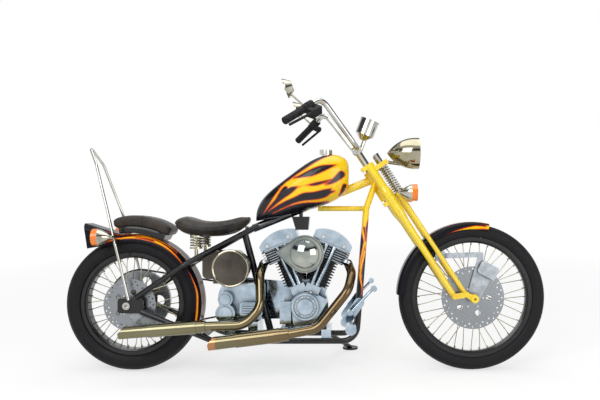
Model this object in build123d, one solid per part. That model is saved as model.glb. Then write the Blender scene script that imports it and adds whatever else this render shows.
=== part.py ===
from build123d import *
import math
import os

# Bobber motorcycle, built upright in its own frame and then leaned on its side stand.
# Building frame: +X forward, +Y to the rider's left, +Z up, rear axle above x = 0, ground at z = 0.
# All lengths are in millimetres and all angles in degrees.

# Whole machine
wheelbase = 1590.0
lean_angle = 8.0
seat_gap = 0.3  # gap between pieces that are fitted to each other
overrun = 2.0  # how far a cutting tool passes the face it cuts

# Tyres and rims
front_tyre_radius = 343.0
front_tyre_half_width = 43.0
front_rim_radius = 281.0
front_rim_half_width = 30.0
rear_tyre_radius = 314.0
rear_tyre_half_width = 62.0
rear_rim_radius = 240.0
rear_rim_half_width = 44.0
tyre_wall = 9.0
rim_flange = 3.0
rim_lip = 13.0
rim_seat = 10.0
rim_slope = 5.0
rim_well = 9.0
rim_wall = 4.0
spoke_radius = 1.9
spoke_count = 40
spoke_cross_angle = 38.0
spoke_stagger = 2.5
spoke_rim_offset = 7.0
spoke_end_gap = 0.6
hub_barrel_radius = 27.0
hub_flange_radius = 50.0
hub_flange_thickness = 9.0
hub_hole_inset = 6.0
hub_bore_gap = 0.1
front_hub_flange_y = 27.0
front_hub_half_length = 44.0
front_axle_radius = 9.5
rear_hub_flange_y = 33.0
rear_hub_right_end = 90.0
rear_axle_radius = 12.7
axle_nut_radius = 17.0
axle_nut_length = 12.0

# Brake discs
disc_radius = 146.0
disc_thickness = 5.0
disc_hole_radius = 4.0
disc_hole_rows = 2
disc_holes_in_row = 24
disc_row_pitch = 13.0
disc_first_row_inset = 10.0
disc_window_radius = 13.0
disc_window_count = 5
disc_window_share = 0.51

# Final drive by toothed belt on the left
belt_inner_y = 86.0
belt_width = 24.0
belt_thickness = 6.0
rear_pulley_radius = 146.0
rear_pulley_rim = 16.0
rear_pulley_web = 8.0
rear_pulley_window_radius = 26.0
rear_pulley_window_count = 5
rear_pulley_window_circle = 92.0
gearbox_pulley_radius = 62.0

# Rear frame, backbone and cradle
tube_radius = 13.5
stay_radius = 13.0
stay_y = 129.5
stay_rear_x = 42.0
stay_rear_z = 352.0
stay_bend_x = 262.0
stay_bend_z = 502.0
stay_front_x = 585.0
stay_front_z = 678.0
axle_plate_thickness = 12.0
axle_plate_inner_y = 116.0
axle_plate_rear = 42.0
axle_plate_front = 74.0
axle_plate_half_height = 34.0
backbone_radius = 19.0
backbone_rear_x = 560.0
backbone_rear_z = 664.0
backbone_front_u = 92.0
rail_y = 112.0
rail_z = 152.0
rail_rear_x = 66.0
rail_rear_z = 288.0
rail_bend_x = 400.0
rail_inset_x = 620.0
rail_front_x = 1046.0
rail_bend_radius = 70.0
down_tube_top_y = 28.0
down_tube_top_u = 108.0
down_tube_knee_z = 760.0
down_tube_knee_x = 1094.0
down_tube_knee_y = 52.0
down_tube_foot_x = 1060.0
down_tube_foot_z = 330.0
brace_rear_x = 866.0
brace_z = 759.0
brace_radius = 12.0
seat_post_radius = 16.0
seat_post_top_x = 520.0
seat_post_foot_x = 650.0
cross_member_radius = 14.0
rear_cross_x = 352.0
rear_cross_z = 178.0

# Steering head and springer fork, in a frame whose z is the steering axis
rake = 33.0
steering_x = 1079.0
steering_z = 975.0
stem_radius = 13.0
stem_gap = 0.1
neck_radius = 28.0
neck_top = -50.0
neck_bottom = -205.0
tree_thickness = 20.0
top_tree_z = -22.0
lower_tree_z = -212.0
tree_half_width = 92.0
tree_depth = 30.0
stem_nut_radius = 22.0
stem_nut_height = 26.0
leg_y = 78.0
leg_v = 13.0
leg_top = -22.0
leg_upper_radius = 20.0
leg_wide_radius = 26.0
leg_wide_top = -150.0
leg_wide_bottom = -285.0
leg_taper_bottom = -340.0
leg_mid_radius = 17.5
leg_foot_radius = 15.0
leg_foot = -750.0
front_leg_radius = 11.0
front_leg_top_v = 58.0
front_leg_top = -222.0
front_leg_foot_v = 63.0
front_leg_foot = -771.0
spring_v = 68.0
spring_y = 48.0
spring_top = -74.0
spring_bottom = -206.0
spring_coil_radius = 17.0
spring_wire_radius = 3.4
spring_pitch = 12.0
spring_rod_radius = 6.0
spring_cover_radius = 13.0
spring_cover_top = 46.0
bridge_thickness = 22.0
bridge_front = 96.0
bridge_half_width = 66.0
bridge_z = -46.0
perch_half_width = 92.0
perch_thickness = 14.0
perch_depth = 34.0
axle_v = 84.4
axle_drop = -808.3
rocker_width = 26.0
rocker_thickness = 14.0
rocker_y = 98.5
pivot_radius = 7.0

# Handlebar, risers and hand controls
bar_radius = 12.7
bar_center_v = 7.0
bar_center_z = 54.0
bar_corner_y = 150.0
bar_corner_v = 6.0
bar_corner_z = 64.0
bar_top_y = 235.0
bar_top_v = -12.0
bar_top_z = 326.0
bar_end_y = 400.0
bar_end_v = -200.0
bar_end_z = 306.0
bar_bend_radius = 48.0
riser_y = 46.0
riser_radius = 14.0
riser_clamp_radius = 21.0
riser_clamp_width = 30.0
grip_length = 122.0
grip_radius = 17.0
switch_length = 34.0
switch_radius = 21.0
control_length = 24.0
control_radius = 19.0
lever_reach = 62.0
lever_length = 150.0
lever_thickness = 12.0
reservoir_length = 62.0
reservoir_height = 38.0
reservoir_depth = 40.0
mirror_radius = 44.0
mirror_thickness = 30.0
mirror_rise = 118.0
mirror_stem_radius = 5.0

# Lamps, indicators and speedometer
headlamp_radius = 74.0
headlamp_length = 150.0
headlamp_x = 1343.0
headlamp_z = 1020.0
headlamp_wall = 3.0
headlamp_bezel = 9.0
headlamp_lens_bulge = 9.0
indicator_radius = 38.0
indicator_housing = 52.0
indicator_lens = 26.0
indicator_stem_radius = 8.0
front_indicator_v = 62.0
front_indicator_z = -232.0
front_indicator_y = 140.0
rear_indicator_x = -62.0
rear_indicator_z = 628.0
rear_indicator_y = 168.0
speedo_radius = 45.0
speedo_length = 72.0
speedo_v = 76.0
speedo_z = 107.0
tail_lamp_width = 92.0
tail_lamp_height = 50.0
tail_lamp_depth = 26.0
plate_width = 178.0
plate_height = 102.0
plate_thickness = 2.5

# Fenders
fender_wall = 2.5
front_fender_gap = 8.0
front_fender_half_width = 53.0
front_fender_side = 34.0
front_fender_round = 22.0
front_fender_start = 77.0
front_fender_end = 178.0
front_fender_flip = 14.0
front_fender_flip_angle = 10.0
rear_fender_gap = 9.5
rear_fender_half_width = 79.0
rear_fender_side = 38.0
rear_fender_round = 30.0
rear_fender_start = -14.0
rear_fender_end = 98.0
tail_step_angle = 11.0
tail_mid_rise = 28.0
tail_rise = 112.0
tail_side_mid = 64.0
tail_side = 118.0

# Tank, seats and sissy bar
tank_front_x = 1012.0
tank_rear_x = 577.0
tank_height = 310.0
tank_base_z = 700.0
tank_half_width = 128.0
tunnel_half_width = 26.0
tank_cap_radius = 30.0
tank_cap_height = 22.0
seat_rear_x = 203.0
seat_front_x = 550.0
seat_half_width = 165.0
seat_nose_half_width = 48.0
seat_low_z = 630.0
seat_height = 90.0
seat_pan_wall = 4.0
seat_spring_x = 312.0
seat_spring_y = 104.0
seat_spring_radius = 25.0
seat_spring_wire = 3.6
seat_spring_pitch = 12.0
pad_inner_radius = 354.0
pad_thickness = 56.0
pad_half_width = 95.0
pad_start = 60.0
pad_end = 102.5
pad_base_wall = 3.0
pad_post_radius = 8.0
sissy_radius = 6.5
sissy_foot_x = 10.0
sissy_foot_z = 341.0
sissy_y = 134.8
sissy_knee_x = -52.0
sissy_knee_z = 600.0
sissy_mid_x = -92.0
sissy_mid_y = 106.0
sissy_mid_z = 735.0
sissy_neck_x = -166.0
sissy_neck_y = 52.0
sissy_neck_z = 968.0
sissy_tip_x = -214.0
sissy_tip_z = 1054.0

# Engine
crank_x = 812.0
crank_z = 308.0
vee_half_angle = 22.5
case_radius = 104.0
case_half_width = 58.0
case_deck = 108.0
case_deck_half = 62.0
sump_half_width = 96.0
sump_bottom = 118.0
cylinder_height = 128.0
cylinder_radius = 52.0
fin_radius = 66.0
fin_count = 9
fin_thickness = 3.2
vee_gap = 1.5
head_height = 66.0
head_half_length = 78.0
head_half_width = 70.0
head_fin_count = 5
head_fin_depth = 12.0
rocker_height = 66.0
rocker_half_length = 96.0
rocker_half_width = 74.0
rocker_end_height = 30.0
cam_cover_depth = 46.0
cam_cover_radius = 84.0
timer_radius = 36.0
timer_depth = 12.0
cam_foot = 92.0
lifter_width = 34.0
lifter_height = 40.0
lifter_depth = 34.0
pushrod_radius = 9.0
pushrod_spread = 46.0
pushrod_y = 88.0
oil_pump_width = 52.0
oil_pump_height = 104.0
oil_pump_depth = 40.0
carb_radius = 34.0
carb_length = 74.0
manifold_radius = 22.0
cleaner_radius = 86.0
cleaner_depth = 62.0
cleaner_y = 112.0
cleaner_z = 551.0
cleaner_tail = 122.0
coil_width = 82.0
coil_height = 62.0
coil_depth = 76.0
coil_z = 690.0

# Gearbox, primary drive and starter
gearbox_x = 520.0
gearbox_z = 322.0
gearbox_length = 176.0
gearbox_height = 170.0
gearbox_half_width = 76.0
gearbox_cover_depth = 34.0
gearbox_cover_radius = 62.0
gearbox_rib_count = 5
starter_radius = 36.0
starter_length = 120.0
starter_x = 440.0
starter_z = 382.0
primary_inner_y = 118.0
primary_depth = 54.0
primary_front_radius = 84.0
primary_rear_radius = 104.0
primary_step = 14.0
oil_tank_rear_x = 334.0
oil_tank_front_x = 506.0
oil_tank_low_z = 432.0
oil_tank_high_z = 560.0
oil_tank_half_width = 78.0
oil_tank_round = 26.0
canister_x = 479.0
canister_z = 488.0
canister_radius = 77.0
canister_end_y = 172.0
canister_rim = 4.0

# Exhaust on the right
pipe_radius = 21.0
pipe_wall = 2.0
muffler_radius = 27.0
muffler_wall = 2.5
shield_radius = 30.0
exhaust_y = 212.0
front_port_x = 1010.0
front_port_z = 500.0
rear_port_x = 612.0
rear_port_z = 494.0
port_y = 72.0
upper_muffler_length = 338.0
lower_muffler_length = 300.0

# Foot controls and side stand
peg_radius = 24.0
peg_length = 92.0
peg_x = 1020.0
peg_z = 238.0
peg_y = 250.0
control_plate_thickness = 10.0
pedal_radius = 7.0
pedal_x = 1124.0
pedal_z = 402.0
pedal_pad_radius = 13.0
pedal_pad_length = 46.0
stand_x = 900.0
stand_radius = 11.0
stand_pivot_radius = 8.0
stand_reach = 172.0
stand_forward = 120.0
stand_foot_length = 78.0
stand_foot_width = 56.0
stand_foot_thickness = 9.0
stand_fold_angle = 80.0


# More sizes of the frame and its fittings
plate_round_share = 0.4
spacer_radius = 20.0
axle_bore_depth = 22.0
rear_axle_bore_radius = 8.0
front_axle_bore_radius = 6.0
seat_post_drop = 24.0
stand_out = 38.0
stand_axis_tilt = 31.0
stand_eye_radius = 16.0
stand_eye_length = 28.0
stand_eye_gap = 1.0
stand_ear_thickness = 8.0
stand_foot_y = 300.0
tyre_roll_drop = 0.6

# More sizes of the fork and what it carries
tree_front = 22.0
bridge_arm_width = 24.0
bridge_depth = 44.0
perch_v = 60.0
front_eye_half = 13.5
front_eye_radius = 14.5
spring_washer = 3.0
rocker_waist_share = 0.9
pivot_head = 4.0
mirror_rear = 26.0
mirror_rim = 5.0
mirror_forward = 0.9
mirror_down = 0.2
headlamp_sagitta = 22.0
headlamp_stem_radius = 8.0
headlamp_stem_back = 78.0
headlamp_stem_share = 0.7
indicator_waist = 27.0
speedo_lean_v = 1.41
speedo_bezel = 3.0
speedo_cup = 26.0
speedo_cup_share = 0.9
speedo_arm_radius = 9.0
fender_tab_radius = 7.0
front_tab_v = 60.0
front_disc_side = 49.0
caliper_plate_gap = 6.0
caliper_plate_thickness = 8.0
caliper_eye_radius = 30.0
caliper_link_radius = 12.0
caliper_body_height = 62.0
caliper_body_width = 92.0
caliper_round_share = 0.25
caliper_disc_gap = 5.2
caliper_pad_wall = 12.0
caliper_anchor = 44.0
front_caliper_angle = 62.0
front_link_angle = 80.0
front_link_radius = 205.0
front_link_leg_v = 60.0
front_link_leg_w = -560.0

# More sizes of the rear end
rear_disc_radius = 120.0
rear_disc_side = 84.0
rear_caliper_angle = -48.0
tail_x = -216.0
tail_z = 690.0
tail_tilt = 0.15
tail_arch = 6.0
tail_drop = 20.0
sissy_stay_x = -56.0
sissy_stay_z = 611.0
rear_fender_bolt_angle = 35.5
sissy_bend = 60.0
sissy_tip_bend = 16.0
pad_round_share = 0.3
pad_post_inset = 8.0
seat_round_share = 0.32
seat_spring_low = 578.0
seat_spring_post = 44.0
seat_spring_sink = 4.0
seat_nose_x = 530.0
seat_nose_low = 640.0
tank_round_share = 0.36
tank_tunnel_gap = 2.0
tank_cap_x = 905.0
tank_cap_y = -40.0
cap_neck_share = 0.7

# More sizes of the engine and drive
sump_share = 0.8
mount_rise = 14.0
mount_half = 22.0
lifter_drop = 42.0
oil_pump_back = 92.0
oil_pump_drop = 30.0
pushrod_foot_spread = 11.0
pushrod_top_spread = 20.0
pushrod_foot_y = 80.0
pushrod_top_y = 68.0
pushrod_cup = 12.0
pushrod_lip = 2.0
timer_ring_radius = 62.0
timer_lip = 8.0
cam_round_share = 0.8
head_shift = 20.0
head_round = 14.0
exhaust_port_out = 100.0
exhaust_port_end = 62.0
exhaust_port_rise = 26.0
exhaust_port_dip = 14.0
exhaust_port_radius = 27.0
rocker_inner_share = 0.95
rocker_inner_height = 44.0
rocker_round = 10.0
rocker_flange = 5.0
carb_inner_y = 76.0
carb_bowl_drop = 46.0
carb_bowl_share = 0.8
manifold_drop = 14.0
cleaner_edge_share = 0.4
cleaner_tail_rise = 6.0
cleaner_tip_radius = 9.0
cleaner_chamfer = 9.0
cleaner_dome_share = 0.72
cleaner_dome = 30.0
coil_back = 26.0
coil_foot_share = 0.55
coil_hanger_radius = 9.0
gearbox_round = 18.0
gearbox_foot_share = 0.3
gearbox_cover_length = 105.0
gearbox_cover_height = 65.0
gearbox_cover_forward = 44.0
gearbox_cover_drop = 27.0
gearbox_rib_proud = 4.0
dome_end_y = 116.0
dome_step = 5.0
dome_step_share = 0.7
dome_back_share = 0.42
dome_rise = 21.0
dome_drop = 45.0
dome_small_radius = 34.0
dome_large_radius = 45.0
output_x = 476.0
output_z = 322.0
output_shaft_radius = 16.0
derby_share = 0.55
primary_boss_radius = 70.0
lower_muffler_radius = 29.5
pipe_bends = [90.0, 90.0, 90.0]
tip_bore_depth = 110.0
tip_slash = 0.8
shield_wall = 2.5
shield_start_share = 0.1
shield_end_share = 0.66

# More sizes of the foot controls
control_low_x = 996.0
control_low_z = 240.0
control_eye_radius = 22.0
control_boss_x = 1017.0
control_boss_z = 289.0
peg_core_radius = 10.0
pedal_gap = 46.0


# Worked out from the dimensions above
front_axle = Vector(wheelbase, 0, front_tyre_radius)
rear_axle = Vector(0, 0, rear_tyre_radius)
sin_rake = math.sin(math.radians(rake))
cos_rake = math.cos(math.radians(rake))
fork_plane = Plane(
    origin=(steering_x, 0, steering_z), x_dir=(cos_rake, 0, sin_rake), z_dir=(-sin_rake, 0, cos_rake)
)
fork_frame = fork_plane.location
side_plane = Plane.XZ  # its normal is -Y, so a positive extrusion grows towards the rider's right
SIDES = (1, -1)  # left, right


def fork_to_bike(v, y, z):
    """A point given in the fork's frame, in the building frame."""
    return fork_plane.from_local_coords(Vector(v, y, z))


def bike_to_fork(x, y, z):
    """A point given in the building frame, in the fork's frame."""
    return fork_plane.to_local_coords(Vector(x, y, z))


def ray(angle, length):
    """A step in the x-z plane, at an angle counted up from +X."""
    return Vector(length * math.cos(math.radians(angle)), 0, length * math.sin(math.radians(angle)))


def rod(start, end, radius):
    """A round bar between two points."""
    start, end = Vector(start), Vector(end)
    axis = end - start
    base = Plane(origin=start, z_dir=axis)
    return extrude(base * Circle(radius), axis.length)


def bent_rod(points, radius, bends):
    """A round bar along straight runs joined by tangent arcs."""
    path = FilletPolyline(*points, radius=bends)
    start = Plane(origin=path @ 0, z_dir=path % 0)
    return sweep(start * Circle(radius), path=path)


def across(x, z, y_from, y_to, radius):
    """A round bar along the width of the machine."""
    return rod((x, y_from, z), (x, y_to, z), radius)


def side_slab(face, y_from, y_to):
    """A face drawn in the x-z plane, as a slab between two distances along Y."""
    low, high = min(y_from, y_to), max(y_from, y_to)
    return Pos(0, high, 0) * extrude(side_plane * face, high - low)


def outline(*points):
    """A closed outline of straight edges in the x-z plane."""
    return make_face(Polyline(*points, close=True))


def mirrored(shape):
    """The same piece on the other side of the machine."""
    return mirror(shape, about=Plane.XZ)


def belt_loop(center_a, radius_a, center_b, radius_b):
    """The face inside a tight loop round two circles, in the x-z plane."""
    a, b = Vector(center_a), Vector(center_b)
    along = b - a
    turn = math.degrees(math.atan2(along.Y, along.X))
    open_angle = math.degrees(math.acos((radius_a - radius_b) / along.length))

    def rim(center, radius, angle):
        t = math.radians(angle)
        return center + Vector(radius * math.cos(t), radius * math.sin(t))

    top_a, top_b = rim(a, radius_a, turn + open_angle), rim(b, radius_b, turn + open_angle)
    low_a, low_b = rim(a, radius_a, turn - open_angle), rim(b, radius_b, turn - open_angle)
    back, front = rim(a, radius_a, turn + 180), rim(b, radius_b, turn)
    edges = [
        Line(top_a, top_b),
        ThreePointArc(top_b, front, low_b),
        Line(low_b, low_a),
        ThreePointArc(low_a, back, top_a),
    ]
    return make_face(edges)


def coil_spring(base, height, radius, wire, pitch):
    """An open coil spring standing on a point, with closed flat ends left out."""
    turns_height = height - 2 * wire
    helix = Helix(pitch=pitch, height=turns_height, radius=radius)
    start = Plane(origin=helix @ 0, z_dir=helix % 0)
    return Pos(*base) * Pos(0, 0, wire) * sweep(start * Circle(wire), path=helix, is_frenet=True)


def cap_ball(radius, rise, way):
    """A ball whose top is at the origin, so that it rounds a disc of a radius into a dome of a rise."""
    ball_radius = (radius**2 + rise**2) / (2 * rise)
    center = Vector(*way) * -ball_radius
    return Pos(center.X, center.Y, center.Z) * Sphere(ball_radius)


def largest(shape):
    """The largest solid of a shape, without the chips that a cut leaves."""
    return max(shape.solids(), key=lambda solid: solid.volume)


def moved(place, shape):
    """A node's shape at a place, each of its solids moved by itself."""
    solids = [place * solid for solid in shape.solids()]
    return solids[0] if len(solids) == 1 else group(solids)


def group(shapes):
    """Several solids that share a node."""
    return Compound(children=[solid for shape in shapes for solid in shape.solids()])


# Wheels


def tyre(radius, half_width, rim_radius, rim_half_width):
    """A tyre carcass about the Y axis, open towards its rim."""
    bead_y = rim_half_width - rim_flange
    bead_r = rim_radius - rim_lip
    lip_r = rim_radius + overrun
    shoulder_y = half_width * 0.80
    shoulder_r = radius - half_width * 0.30
    widest_r = radius - half_width * 0.86
    wall = tyre_wall
    inner_bead_y = bead_y - wall
    outer = [
        Line((bead_y, bead_r), (bead_y, lip_r)),
        ThreePointArc((bead_y, lip_r), (half_width, widest_r), (shoulder_y, shoulder_r)),
        ThreePointArc((shoulder_y, shoulder_r), (0, radius), (-shoulder_y, shoulder_r)),
        ThreePointArc((-shoulder_y, shoulder_r), (-half_width, widest_r), (-bead_y, lip_r)),
        Line((-bead_y, lip_r), (-bead_y, bead_r)),
    ]
    inner = [
        Line((-bead_y, bead_r), (-inner_bead_y, bead_r)),
        Line((-inner_bead_y, bead_r), (-inner_bead_y, lip_r)),
        ThreePointArc(
            (-inner_bead_y, lip_r), (-half_width + wall, widest_r), (-shoulder_y + wall, shoulder_r - wall)
        ),
        ThreePointArc(
            (-shoulder_y + wall, shoulder_r - wall), (0, radius - wall), (shoulder_y - wall, shoulder_r - wall)
        ),
        ThreePointArc(
            (shoulder_y - wall, shoulder_r - wall), (half_width - wall, widest_r), (inner_bead_y, lip_r)
        ),
        Line((inner_bead_y, lip_r), (inner_bead_y, bead_r)),
        Line((inner_bead_y, bead_r), (bead_y, bead_r)),
    ]
    return revolve(Plane.YZ * make_face(outer + inner), Axis.Y)


def rim(rim_radius, half_width):
    """A drop-centre rim about the Y axis."""
    seat_r = rim_radius - rim_lip
    well_r = seat_r - rim_well
    seat_y = half_width - rim_flange - rim_seat
    well_y = seat_y - rim_slope
    half = [
        (well_y, well_r),
        (seat_y, seat_r),
        (half_width - rim_flange, seat_r),
        (half_width - rim_flange, rim_radius),
        (half_width, rim_radius),
        (half_width, seat_r - rim_wall),
        (seat_y, seat_r - rim_wall),
        (well_y, well_r - rim_wall),
    ]
    other = [(-y, r) for y, r in reversed(half)]
    return revolve(Plane.YZ * make_face(Polyline(*half, *other, close=True)), Axis.Y)


def laced_hub(rim_radius, flange_y, left_end, right_end, axle_radius):
    """A hub about the Y axis with its spokes, which end just short of the rim's well."""
    reach = rim_radius - rim_lip - rim_well - rim_wall - spoke_end_gap
    hub = rod((0, -right_end, 0), (0, left_end, 0), hub_barrel_radius)
    half_flange = hub_flange_thickness / 2
    for side in SIDES:
        middle = side * flange_y
        hub += rod((0, middle - half_flange, 0), (0, middle + half_flange, 0), hub_flange_radius)
    start_r = hub_flange_radius - hub_hole_inset
    spokes = []
    for k in range(spoke_count):
        side = SIDES[k % 2]
        lead = SIDES[(k // 2) % 2]
        rim_angle = 360 / spoke_count * k
        start = ray(rim_angle - lead * spoke_cross_angle, start_r)
        end = ray(rim_angle, reach)
        start.Y = side * flange_y + lead * spoke_stagger
        end.Y = side * spoke_rim_offset + lead * spoke_stagger
        spokes.append(rod(start, end, spoke_radius))
    hub = hub + spokes
    return hub - rod((0, -right_end - overrun, 0), (0, left_end + overrun, 0), axle_radius + hub_bore_gap)


def brake_disc(radius):
    """A drilled brake disc about the Y axis, centred on its own thickness."""
    face = Circle(radius) - Circle(hub_barrel_radius + seat_gap)
    for row in range(disc_hole_rows):
        circle = radius - disc_first_row_inset - row * disc_row_pitch
        turn = 180 / disc_holes_in_row * row
        face -= PolarLocations(circle, disc_holes_in_row, turn) * Circle(disc_hole_radius)
    face -= PolarLocations(radius * disc_window_share, disc_window_count) * Circle(disc_window_radius)
    return Pos(0, disc_thickness / 2, 0) * extrude(side_plane * face, disc_thickness)


def belt_pulley():
    """The rear belt pulley about the Y axis, dished so that its web lies at the inner edge."""
    low, high = belt_inner_y, belt_inner_y + belt_width
    pulley = rod((0, low, 0), (0, high, 0), rear_pulley_radius)
    pulley -= rod((0, low + rear_pulley_web, 0), (0, high + overrun, 0), rear_pulley_radius - rear_pulley_rim)
    windows = PolarLocations(rear_pulley_window_circle, rear_pulley_window_count) * Circle(
        rear_pulley_window_radius
    )
    pulley -= side_slab(Sketch() + windows, low - overrun, high)
    return pulley - rod((0, low - overrun, 0), (0, high + overrun, 0), hub_barrel_radius + seat_gap)


def wheel_pieces():
    at_front, at_rear = Pos(*front_axle), Pos(*rear_axle)
    front_right = front_disc_side + disc_thickness / 2
    front_hub = laced_hub(
        front_rim_radius, front_hub_flange_y, front_hub_half_length, front_right, front_axle_radius
    )
    rear_hub = laced_hub(
        rear_rim_radius, rear_hub_flange_y, belt_inner_y + belt_width, rear_hub_right_end, rear_axle_radius
    )
    return {
        "front_tyre": at_front
        * tyre(front_tyre_radius, front_tyre_half_width, front_rim_radius, front_rim_half_width),
        "front_rim": at_front * rim(front_rim_radius, front_rim_half_width),
        "front_hub_and_spokes": at_front * front_hub,
        "front_brake_disc": at_front * Pos(0, -front_disc_side, 0) * brake_disc(disc_radius),
        "rear_tyre": at_rear * tyre(rear_tyre_radius, rear_tyre_half_width, rear_rim_radius, rear_rim_half_width),
        "rear_rim": at_rear * rim(rear_rim_radius, rear_rim_half_width),
        "rear_hub_and_spokes": at_rear * rear_hub,
        "rear_brake_disc": at_rear * Pos(0, -rear_disc_side, 0) * brake_disc(rear_disc_radius),
        "rear_belt_pulley": at_rear * belt_pulley(),
    }


# Frame


def stay(side):
    """An upper rear tube, from the axle plate to the backbone."""
    points = [
        (stay_rear_x, side * stay_y, stay_rear_z),
        (stay_bend_x, side * stay_y, stay_bend_z),
        (stay_front_x, side * backbone_radius, stay_front_z),
    ]
    return bent_rod(points, stay_radius, rail_bend_radius)


def rail(side):
    """A lower tube, from the axle plate along the floor of the frame to the foot of the down tube."""
    points = [
        (rail_rear_x, side * stay_y, rail_rear_z),
        (rail_bend_x, side * stay_y, rail_z),
        (rail_inset_x, side * rail_y, rail_z),
        (rail_front_x, side * rail_y, rail_z),
        (down_tube_foot_x, side * rail_y, down_tube_foot_z),
    ]
    return bent_rod(points, tube_radius, rail_bend_radius)


def down_tube(side):
    """A front down tube, from the steering head to the front end of the lower rail."""
    head = fork_to_bike(0, side * down_tube_top_y, -down_tube_top_u)
    points = [
        (head.X, head.Y, head.Z),
        (down_tube_knee_x, side * down_tube_knee_y, down_tube_knee_z),
        (down_tube_foot_x, side * rail_y, down_tube_foot_z),
    ]
    return bent_rod(points, tube_radius, rail_bend_radius)


def axle_plate(side):
    """The plate that carries one end of the rear axle."""
    half = axle_plate_half_height
    middle = (axle_plate_front - axle_plate_rear) / 2
    length = axle_plate_front + axle_plate_rear
    face = Pos(middle, rear_axle.Z) * RectangleRounded(length, 2 * half, half * plate_round_share)
    face -= Pos(0, rear_axle.Z) * Circle(rear_axle_radius + hub_bore_gap)
    inner = side * axle_plate_inner_y
    return side_slab(face, inner, inner + side * axle_plate_thickness)


def stand_bracket():
    """The forked bracket on the left rail, with the pin that the side stand turns on."""
    half_eye = stand_eye_length / 2 + stand_eye_gap
    ear = stand_ear_thickness
    reach = stand_y - rail_y
    block = Box(2 * stand_eye_radius, reach, 2 * (half_eye + ear), align=(Align.CENTER, Align.MAX, Align.CENTER))
    slot_y = -stand_eye_radius - stand_eye_gap
    slot = Pos(0, slot_y, 0) * Box(
        2 * (stand_eye_radius + overrun), reach, 2 * half_eye, align=(Align.CENTER, Align.MIN, Align.CENTER)
    )
    pin = rod((0, 0, -half_eye - ear), (0, 0, half_eye + ear), stand_pivot_radius)
    return stand_frame * (block - slot + pin)


def frame_nodes():
    neck_tube = rod((0, 0, neck_bottom), (0, 0, neck_top), neck_radius)
    neck_bore = rod((0, 0, neck_bottom - overrun), (0, 0, neck_top + overrun), stem_radius + stem_gap)
    head = fork_to_bike(0, 0, -backbone_front_u)
    tail = (backbone_rear_x, 0, backbone_rear_z)
    backbone = rod(tail, (head.X, 0, head.Z), backbone_radius)
    slope = (head.Z - backbone_rear_z) / (head.X - backbone_rear_x)
    post_x = brace_rear_x + brace_radius
    post_z = backbone_rear_z + (post_x - backbone_rear_x) * slope
    spine = backbone + fork_frame * neck_tube
    spine += rod((brace_rear_x, 0, brace_z), (down_tube_knee_x, 0, brace_z), brace_radius)
    spine += across(down_tube_knee_x, brace_z, -down_tube_knee_y, down_tube_knee_y, brace_radius)
    spine += rod((post_x, 0, brace_z), (post_x, 0, post_z), brace_radius)
    spine = spine - fork_frame * neck_bore

    plates = [axle_plate(side) for side in SIDES]
    stays = [stay(side) - spine + plate for side, plate in zip(SIDES, plates)]
    left_rail, right_rail = rail(SIDES[0]) - plates[0], rail(SIDES[1]) - plates[1]
    rails = left_rail + right_rail + across(rear_cross_x, rear_cross_z, -stay_y, stay_y, cross_member_radius)
    rails += across(seat_post_foot_x, rail_z, -rail_y, rail_y, cross_member_radius)
    rails += stand_bracket()
    downs = [down_tube(side) - spine - rails for side in SIDES]
    post_top_z = backbone_rear_z - seat_post_drop
    post = rod((seat_post_top_x, 0, post_top_z), (seat_post_foot_x, 0, rail_z), seat_post_radius)
    post = post - rails
    for tube in stays:
        post = post - tube
    end_y = axle_plate_inner_y + axle_plate_thickness
    axle = across(0, rear_axle.Z, -end_y - axle_nut_length, end_y + axle_nut_length, rear_axle_radius)
    for side in SIDES:
        face_y = side * (end_y + seat_gap)
        axle += across(0, rear_axle.Z, face_y, side * (end_y + axle_nut_length), axle_nut_radius)
        hub_end = belt_inner_y + belt_width if side > 0 else rear_hub_right_end
        inner_y, outer_y = side * (hub_end + seat_gap), side * (axle_plate_inner_y - seat_gap)
        axle += across(0, rear_axle.Z, inner_y, outer_y, spacer_radius)
        bore_start = side * (end_y + axle_nut_length + overrun)
        bore_end = side * (end_y + axle_nut_length - axle_bore_depth)
        axle -= across(0, rear_axle.Z, bore_start, bore_end, rear_axle_bore_radius)
    return {
        "frame_spine": spine,
        "frame_stays": group(stays),
        "frame_rails": rails,
        "frame_down_tubes": group(downs),
        "frame_seat_post": post,
        "rear_axle": axle,
    }


# Springer fork, in its own frame


def leg_profile():
    """Half the outline of a rear leg: distance from its axis, height in the fork's frame."""
    return [
        (0, leg_top),
        (leg_upper_radius, leg_top),
        (leg_upper_radius, leg_wide_top),
        (leg_wide_radius, leg_wide_top - leg_wide_radius),
        (leg_wide_radius, leg_wide_bottom),
        (leg_mid_radius, leg_taper_bottom),
        (leg_foot_radius, leg_foot),
        (0, leg_foot),
    ]


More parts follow.
